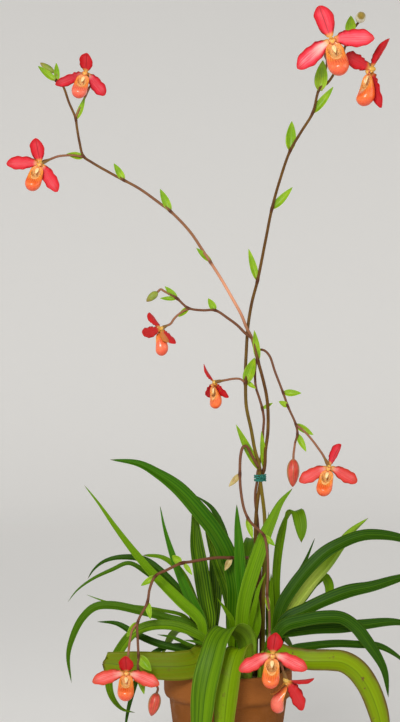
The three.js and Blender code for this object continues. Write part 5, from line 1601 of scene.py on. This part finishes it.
def ovary_patch(bloom, seat):
    """The ovary behind a bloom: a tube with six ribs that swells towards the flower."""
    line = smooth_line(np.vstack((seat, seat * 0.66, seat * 0.33, (0, 0, 0))), 12)
    t = np.linspace(0, 1, len(line))
    radii = (1.5 + 0.9 * ease(t, 0, 0.6)) / bloom["size"]
    ribs = 1 + 0.09 * np.cos(6 * around(OVARY_SIDES)) * bump(t, 0.5, 0.4)[:, None]
    return tube(line, radii, OVARY_SIDES, ribs, tint=OVARY_TINT, finish=OVARY_SKIN)


def shield_rim(uv):
    """Whether a spot of the shield lies near its rim, away from its top and its foot."""
    return (uv[:, 1] > 0.75) & (np.abs(uv[:, 0] - 0.5) < 0.45)


def petals_patches(bloom, seed):
    """Petals, sepals, column, shield and ovary of one bloom."""
    twist, reach = bloom["twist"], bloom["reach"]
    made = []
    for index, mirrored in enumerate((True, False)):
        shape = {**PETAL, "length": PETAL["length"] * reach[index]}
        tint = (bloom["red"], bloom["pale"][index], 0.12, bloom["gold"])
        up, forward = -bloom["droop"][index], bloom["sweep"][index]
        made.append(petal_patch(shape, up, 5, forward, seed + index, tint, 1, 3, twist[index], mirrored))
    dorsal, tint = {**DORSAL, "length": DORSAL["length"] * reach[2]}, (bloom["dark"], 0.35, 0.75, 0)
    up, forward = 90 + bloom["lean"], bloom["hood"]
    made.append(petal_patch(dorsal, up, 8, forward, seed + 2, tint, SEPAL_WAVE, twist=twist[2]))
    made.append(petal_patch(SYNSEPAL, -90, 4, -6, seed + 3, SYNSEPAL_TINT, SEPAL_WAVE))
    made.append(ellipsoid((0, 0.4, 0), COLUMN_RADII, 16, 20, (0, 0.15, 0, 0), COLUMN_WAX))
    made.append(shield_patch((0.8, 0, 0, 0), COLUMN_WAX))
    shield = made[-1]
    made.append(tongue_patch((0, 0, 0.85, 0), COLUMN_WAX))
    for side in (-1, 1):
        made.append(ellipsoid((side * 2.7, -2.4, -3), ANTHER_RADII, 10, 12, (0.3, 0, 0, 0), COLUMN_WAX))
    matrix = bloom_matrix(bloom)
    seat = (place(bloom["seat"]) - place(bloom["at"])) @ np.linalg.inv(matrix).T
    made.append(ovary_patch(bloom, seat))
    draw = np.random.default_rng(seed)
    made.append(down(made[-1], 160, seed, draw, 0.2, (0.4, 0.8), 0.05, (0.4, 0, 0, 0), BLOOM_HAIR))
    roots, out = surface_sample(shield, SHIELD_HAIRS, seed + 1, shield_rim)
    lengths = draw.uniform(0.5, 1.1, SHIELD_HAIRS)
    made.append(hairs(roots, out + (0, -0.6, 0.5), lengths, 0.045, (0.9, 0, 0, 0), BLOOM_HAIR))
    return [{**p, "points": p["points"] @ matrix.T + place(bloom["at"])} for p in made]


LIP_GIRTH = 10.8
LIP_WALL = 1
LIP_MOUTH = 0.85  # share of the girth at the rim
LIP_WAIST = 0.43  # share of the height at the widest ring
LIP_RISE = 24
LIP_SIDES = 64
LIP_LEAN = 1


def belly(u):
    """Share of the girth below the widest ring: an ellipse arc that closes at the toe."""
    return np.sqrt(np.clip(1 - ((LIP_WAIST - u) / 0.507) ** 2, 0, 1))


def narrowing(u, power):
    """Share of the girth above the widest ring, falling to the mouth's with a power of the height."""
    return 1 - (1 - LIP_MOUTH) * ((np.maximum(u, LIP_WAIST) - LIP_WAIST) / (1 - LIP_WAIST)) ** power


def lip_patches(bloom, seed):
    """The pouch. Rings of points run from the toe, along the outside to the rim, over the rolled rim and down
    inside again. At share u of the height the ring's centre is (0, -14 + 4.6 u, -38 + 24 u) and it leans
    forward by u^2 rad. Its radius follows an ellipse arc up to the widest ring and the 1.5th power of the
    height above it. At the sides the rim is folded far in and ribbed: the pale side lobes."""
    angles = around(LIP_SIDES)
    outside = 1 - np.cos(np.linspace(0, np.pi / 2, 16))
    u_low = -0.075 + 0.505 * outside  # the toe lies a little under the height 0
    u_high = np.linspace(0.46, 1, 16)
    roll = np.linspace(0, np.pi, 9)[1:]
    inner = np.linspace(0.9, 0.02, 16)
    share_low, share_high = belly(u_low), narrowing(u_high, 1.5)
    side = np.abs(np.cos(angles)) ** 1.5
    front = np.maximum(0, -np.sin(angles)) ** 3
    fold = 0.085 + 0.2 * side - 0.03 * front
    u = np.concatenate((u_low, u_high))[:, None] + 0 * angles
    share = np.concatenate((share_low, share_high))[:, None] + 0 * angles
    roll_u = 1 + 0.07 * np.sin(roll)[:, None] * (1 + side) - 0.1 * side * ((1 - np.cos(roll)) / 2)[:, None]
    roll_share = LIP_MOUTH - fold * ((1 - np.cos(roll)) / 2)[:, None]
    inner_u = inner[:, None] * (1 - 0.1 * side * inner[:, None])
    deep = ease(0.9 - inner, 0, 0.35)[:, None]
    wall = LIP_WALL / LIP_GIRTH
    inner_body = np.where(inner > LIP_WAIST, narrowing(inner, 1.9), belly(inner))[:, None] - wall
    inner_share = (LIP_MOUTH - fold) * (1 - deep) + inner_body * deep
    u = np.vstack((u, roll_u, inner_u))
    share = np.vstack((share, roll_share, inner_share))
    ribs = 0.028 * np.sin(26 * angles) * side * bump(u, 1, 0.2)
    dent = 1 - 0.05 * front * bump(u, 0.72, 0.2)
    radius = LIP_GIRTH * (share + ribs) * dent
    lean = LIP_LEAN * np.clip(u, 0, 1.1) ** 2
    reach = radius * np.sin(angles)
    x = radius * np.cos(angles)
    y = -14 + 4.6 * u + reach * np.cos(lean)
    z = -38 + LIP_RISE * u + reach * np.sin(lean)
    rows = len(u)
    order = np.arange(rows)[:, None]
    inside = ease(order, 34, 42) * np.ones(LIP_SIDES)
    gold = np.clip(ease(u, 0.6, 0.98) * (0.35 + 0.65 * side) * (order < 42), 0, 1)
    tint = stacked(seed % 7 / 7, gold, inside, bloom["blush"])
    uv = around_uv(angles, np.clip(u, 0, 1))
    pouch = patch(stacked(x, y, z), uv, tint)
    matrix = bloom_matrix(bloom)
    return [{**pouch, "points": pouch["points"] @ matrix.T + place(bloom["at"])}]


BUD_SIDES = 36


def bud_patches(bud, seed):
    """A closed bud: an egg whose radius is girth * sin(pi t^0.82)^0.62, fluted a little, with a low seam
    where the two sepals meet, bowed slightly towards the front."""
    start, end = place((bud["seat"], bud["tip"]))
    t = np.linspace(0, 1, 40)
    axis = end - start
    length = np.linalg.norm(axis)
    bow = unit(np.cross(axis, (1, 0, 0.2)))
    line = start + axis * t[:, None] + bow * (0.03 * length * np.sin(np.pi * t))[:, None]
    shape = np.sin(np.pi * np.clip(t, 0.012, 0.993) ** 0.82) ** 0.62
    angles = around(BUD_SIDES)
    seam = 1 - 0.07 * bump(np.abs(angles - np.pi), np.pi / 2, 0.16) * bump(t, 0.55, 0.4)[:, None]
    flutes, tint = 1 + 0.02 * np.cos(8 * angles), (bud.get("ring", 0), 0, 0, 0)
    body = tube(line, bud["girth"] * shape, BUD_SIDES, seam * flutes, tint)
    return [body, down(body, 260, seed, np.random.default_rng(seed), 0.3, (0.3, 0.6))]


# ---- Tie

TIE_PLACE = np.array((40.3, -0.4, 381))
TIE_RADIUS = 6.9
TIE_HEIGHT = 8
TIE_TURNS = 5
STRAND = 0.85
STRAND_SIDES = 10
KNOT_PLACE = (1.5, -7.2, 0.5)  # from the middle of the tie


def tie_patches():
    """Twine wound round the stems: a helix whose radius and pitch wander a little, and a small knot. Both are
    tubes whose two strands turn along them."""
    t = np.linspace(0, 1, 420)
    angle = 2 * np.pi * TIE_TURNS * t
    radius = TIE_RADIUS + 0.25 * np.sin(3.7 * angle + 1) * np.sin(1.3 * angle)
    height = TIE_HEIGHT * (t - 0.5) + 0.5 * np.sin(angle * 0.37 + 2)
    line = TIE_PLACE + np.stack((radius * np.cos(angle), radius * np.sin(angle), height), axis=1)
    sides = around(STRAND_SIDES)
    coil = tube(line, STRAND, STRAND_SIDES, 1 + 0.16 * np.cos(2 * sides + 70 * np.pi * t[:, None]))
    s = np.linspace(0, 1, 120)
    turn = 2 * np.pi * 2 * s
    knot = np.stack((2.2 * np.sin(turn), np.cos(1.5 * turn), 2.4 * np.cos(turn) * (1 - 0.4 * s)), axis=1)
    strands = 1 + 0.14 * np.cos(2 * sides + 30 * s[:, None])
    return [coil, tube(TIE_PLACE + KNOT_PLACE + knot, STRAND, STRAND_SIDES, strands)]


# ---- Settings


class OrchidPotSettings(bpy.types.PropertyGroup):
    """Sizes and colour of the pot and its soil."""

    height: bpy.props.FloatProperty(
        name="Height", description="Foot to rim", default=POT_HIGH.z - POT_LOW.z, unit="LENGTH"
    )
    rim_radius: bpy.props.FloatProperty(
        name="Rim radius", description="Outer radius of the rim band", default=POT_HIGH.x, unit="LENGTH"
    )
    clay: bpy.props.FloatVectorProperty(
        name="Clay", description="Colour of the fired clay", default=(0.2, 0.062, 0.0075), subtype="COLOR"
    )
    chips: bpy.props.IntProperty(name="Bark chips", description="Loose chips on the soil", default=620, min=0)


class OrchidLeafSettings(bpy.types.PropertyGroup):
    """Sizes of the leaves."""

    leaf_thickness: bpy.props.FloatProperty(
        name="Thickness", description="Thickness of a blade at its middle", default=1.0 * MM, unit="LENGTH"
    )


class OrchidBloomSettings(bpy.types.PropertyGroup):
    """Colours of the blooms."""

    petal_red: bpy.props.FloatVectorProperty(
        name="Petal red", description="Margins and dark petals", default=(0.5, 0.006, 0.008), subtype="COLOR"
    )
    petal_coral: bpy.props.FloatVectorProperty(
        name="Petal coral", description="Skin within margins", default=(0.84, 0.05, 0.085), subtype="COLOR"
    )
    # colour of the painted highlight streaks on the petals
    petal_highlight: bpy.props.FloatVectorProperty(
        name="Petal highlight", description="Pale middle streaks", default=(0.95, 0.34, 0.37), subtype="COLOR"
    )
    lip_red: bpy.props.FloatVectorProperty(
        name="Pouch red", description="Body of the pouch", default=(0.83, 0.115, 0.014), subtype="COLOR"
    )
    lip_orange: bpy.props.FloatVectorProperty(
        name="Pouch orange", description="Lighter clouds on it", default=(0.95, 0.25, 0.05), subtype="COLOR"
    )


class OrchidStageSettings(bpy.types.PropertyGroup):
    """Floor, lights and camera."""

    floor_colour: bpy.props.FloatVectorProperty(
        name="Floor", description="Colour of floor and backdrop", default=(0.72, 0.71, 0.69), subtype="COLOR"
    )
    lens: bpy.props.FloatProperty(name="Lens", description="In mm, on a 36 mm high sensor", default=75.64)
    key_power: bpy.props.FloatProperty(
        name="Key light", description="Power of the front light", default=38, unit="POWER"
    )
    fill_power: bpy.props.FloatProperty(
        name="Fill light", description="Power of the right and back lights", default=8, unit="POWER"
    )


# ---- Operators


class ORCHID_OT_pot(bpy.types.Operator):
    """Builds the clay pot"""

    bl_idname = "orchid.pot"
    bl_label = "Clay pot"

    def execute(self, context):
        surface, clay = pot_patch(context.scene.orchid_pot), material("fired_clay", pot_finish)
        build_piece("pot_of_fired_clay", [surface], [clay], ["clay_pot"])
        return {"FINISHED"}


class ORCHID_OT_mix(bpy.types.Operator):
    """Builds the soil and the bark chips that lie on it"""

    bl_idname = "orchid.mix"
    bl_label = "Potting mix"

    def execute(self, context):
        settings = context.scene.orchid_pot
        bark = material("bark_and_compost", bark_finish)
        build_piece("soil", [mix_patch(settings)], [bark], ["potting_mix"])
        build_piece("bark_chips", chip_patches(settings), [bark])
        return {"FINISHED"}


class ORCHID_OT_leaves(bpy.types.Operator):
    """Builds every leaf fan"""

    bl_idname = "orchid.leaves"
    bl_label = "Leaf fans"

    def execute(self, context):
        finishes = [material("strap_leaf", leaf_finish), material("leaf_sheath", sheath_finish)]
        settings = context.scene.orchid_leaves
        for number, (name, growth) in enumerate(FANS.items()):
            core = growth["core"]
            patches = [core_patch(core)]
            for order, blade in enumerate(growth["leaves"]):
                patches.append(leaf_patch(blade, core, order, 100 * number + order, settings))
            build_piece(name.replace("leaf_fan", "leaves"), patches, finishes, [name])
        return {"FINISHED"}


class ORCHID_OT_spikes(bpy.types.Operator):
    """Builds the three flower spikes with their bracts and pedicels"""

    bl_idname = "orchid.spikes"
    bl_label = "Flower spikes"

    def execute(self, context):
        skins = {"spike_skin": stem_finish, "bract": bract_finish, "spike_hair": hair_finish}
        finishes = [material(skin, build) for skin, build in skins.items()]
        for number, name in enumerate(SPIKES):
            patches = spike_patches(name, 500 + 200 * number)
            build_piece(name.replace("spike", "flower_spike"), patches, finishes, [name])
        return {"FINISHED"}


class ORCHID_OT_tie(bpy.types.Operator):
    """Builds the twine that ties the spikes together"""

    bl_idname = "orchid.tie"
    bl_label = "Twine tie"

    def execute(self, context):
        build_piece("twine_tie", tie_patches(), [material("twine", twine_finish)], ["plant_tie"])
        return {"FINISHED"}


class ORCHID_OT_blooms(bpy.types.Operator):
    """Builds the ten open blooms: petals, sepals and column, and the pouch of each"""

    bl_idname = "orchid.blooms"
    bl_label = "Blooms"

    def execute(self, context):
        petal = [
            material("petal_skin", petal_finish),
            material("column_wax", column_finish),
            material("ovary_skin", stem_finish),
            material("bloom_hair", hair_finish),
        ]
        lip = [material("pouch_skin", lip_finish)]
        for number, bloom in enumerate(BLOOMS, start=1):
            seed, node, piece = 1000 + 10 * number, f"bloom_{number}", f"flower_{number}"
            build_piece(f"{piece}_petals", petals_patches(bloom, seed), petal, [f"{node}_petals"])
            build_piece(f"{piece}_pouch", lip_patches(bloom, seed), lip, [f"{node}_lip"])
        return {"FINISHED"}


class ORCHID_OT_buds(bpy.types.Operator):
    """Builds the five closed buds"""

    bl_idname = "orchid.buds"
    bl_label = "Buds"

    def execute(self, context):
        hair = material("bud_hair", hair_finish)
        skins = {
            "green": ([material("green_bud_skin", green_bud_finish), hair], "green_bud"),
            "red": ([material("red_bud_skin", red_bud_finish), hair], "red_bud"),
        }
        for number, bud in enumerate(BUDS, start=1):
            finishes, slot = skins[bud["kind"]]
            patches = bud_patches(bud, 1500 + number)
            build_piece(f"closed_bud_{number}", patches, finishes, [f"bud_{number}"])
        return {"FINISHED"}


AIM = (0.0, 0.0, 0.45)  # where the lights look, in metres like all of the stage
FLOOR_SIDES = 96
FLAT_FLOOR, FLOOR_EDGE, FLOOR_RISE = 3.2, 6.0, 3.2
AIR_COLOUR, AIR_STRENGTH = (1.0, 0.98, 0.95, 1.0), 0.25
SENSOR_HEIGHT, FARTHEST = 36.0, 50.0


def add_light(name, spot, size, power):
    """A square area light that looks at AIM."""
    data = bpy.data.lights.new(name, "AREA")
    data.energy, data.size = power, size
    light = bpy.data.objects.new(name, data)
    light.location = spot
    light.rotation_euler = Vector(np.array(AIM) - np.array(spot)).to_track_quat("-Z", "Y").to_euler()
    bpy.context.scene.collection.objects.link(light)


def floor_mesh():
    """A round floor, level near the plant and rising smoothly to its edge, as one sheet that faces up."""
    level, rising = np.linspace(0.4, FLAT_FLOOR, 8), np.linspace(FLAT_FLOOR + 0.1, FLOOR_EDGE, 30)
    radii = np.concatenate(([0.01], level, rising))[:, None]
    angles = around(FLOOR_SIDES)
    height = FLOOR_RISE * ease(radii, FLAT_FLOOR, 2 * FLAT_FLOOR)
    points = stacked(radii * np.cos(angles), radii * np.sin(angles), height)
    index = np.arange(len(radii) * FLOOR_SIDES).reshape(-1, FLOOR_SIDES)
    ring = np.concatenate((index, index[:, :1]), axis=1)
    quads = stacked(ring[:-1, :-1], ring[1:, :-1], ring[1:, 1:], ring[:-1, 1:]).reshape(-1, 4)
    mesh = bpy.data.meshes.new("floor")
    mesh.from_pydata(points.reshape(-1, 3).tolist(), [], [*quads.tolist(), index[0].tolist()])
    mesh.polygons.foreach_set("use_smooth", np.ones(len(mesh.polygons), bool))
    return mesh


class ORCHID_OT_stage(bpy.types.Operator):
    """Adds the pale floor, the soft lights and the camera"""

    bl_idname = "orchid.stage"
    bl_label = "Stage"

    def execute(self, context):
        settings = context.scene.orchid_stage
        mesh = floor_mesh()
        mesh.materials.append(material("pale_floor", floor_finish))
        floor = bpy.data.objects.new("floor", mesh)
        context.scene.collection.objects.link(floor)

        add_light("key_light", (-0.5, -2.1, 1.35), 0.6, settings.key_power)
        add_light("left_fill", (-1.9, -0.6, 1.4), 1.5, 0.5 * settings.fill_power)
        add_light("right_fill", (1.9, -0.9, 1.1), 1.5, settings.fill_power)
        add_light("back_light", (0.3, 1.9, 2.0), 1.6, settings.fill_power)

        world = bpy.data.worlds.new("soft_room")
        world.use_nodes = True
        background = world.node_tree.nodes["Background"]
        background.inputs["Color"].default_value = AIR_COLOUR
        background.inputs["Strength"].default_value = AIR_STRENGTH
        context.scene.world = world
        context.scene.view_settings.view_transform = "Standard"

        data = bpy.data.cameras.new("front_camera")
        data.sensor_fit, data.sensor_height, data.lens = "VERTICAL", SENSOR_HEIGHT, settings.lens
        data.clip_end = FARTHEST
        camera = bpy.data.objects.new("front_camera", data)
        camera.location = EYE * MM
        camera.rotation_euler = (np.pi / 2, 0.0, 0.0)
        context.scene.collection.objects.link(camera)
        context.scene.camera = camera
        return {"FINISHED"}


class ORCHID_PT_panel(bpy.types.Panel):
    """Lists the settings and the operators"""

    bl_label = "Potted slipper orchid"
    bl_idname = "ORCHID_PT_panel"
    bl_space_type = "VIEW_3D"
    bl_region_type = "UI"
    bl_category = "Orchid"

    def draw(self, context):
        for group in SETTINGS:
            values = getattr(context.scene, group)
            box = self.layout.box()
            for name in values.__annotations__:
                box.prop(values, name)
        for operator in OPERATORS:
            self.layout.operator(operator.bl_idname)


SETTINGS = {
    "orchid_pot": OrchidPotSettings,
    "orchid_leaves": OrchidLeafSettings,
    "orchid_blooms": OrchidBloomSettings,
    "orchid_stage": OrchidStageSettings,
}
OPERATORS = (
    ORCHID_OT_stage,
    ORCHID_OT_pot,
    ORCHID_OT_mix,
    ORCHID_OT_leaves,
    ORCHID_OT_spikes,
    ORCHID_OT_tie,
    ORCHID_OT_blooms,
    ORCHID_OT_buds,
)


def register():
    for part in (*SETTINGS.values(), *OPERATORS, ORCHID_PT_panel):
        bpy.utils.register_class(part)
    for name, group in SETTINGS.items():
        setattr(bpy.types.Scene, name, bpy.props.PointerProperty(type=group))


def unregister():
    for name in SETTINGS:
        delattr(bpy.types.Scene, name)
    for part in reversed((*SETTINGS.values(), *OPERATORS, ORCHID_PT_panel)):
        bpy.utils.unregister_class(part)


def main():
    register()
    bpy.ops.orchid.stage()
    bpy.ops.orchid.pot()
    bpy.ops.orchid.mix()
    bpy.ops.orchid.leaves()
    bpy.ops.orchid.spikes()
    bpy.ops.orchid.tie()
    bpy.ops.orchid.blooms()
    bpy.ops.orchid.buds()


if __name__ == "__main__":
    main()
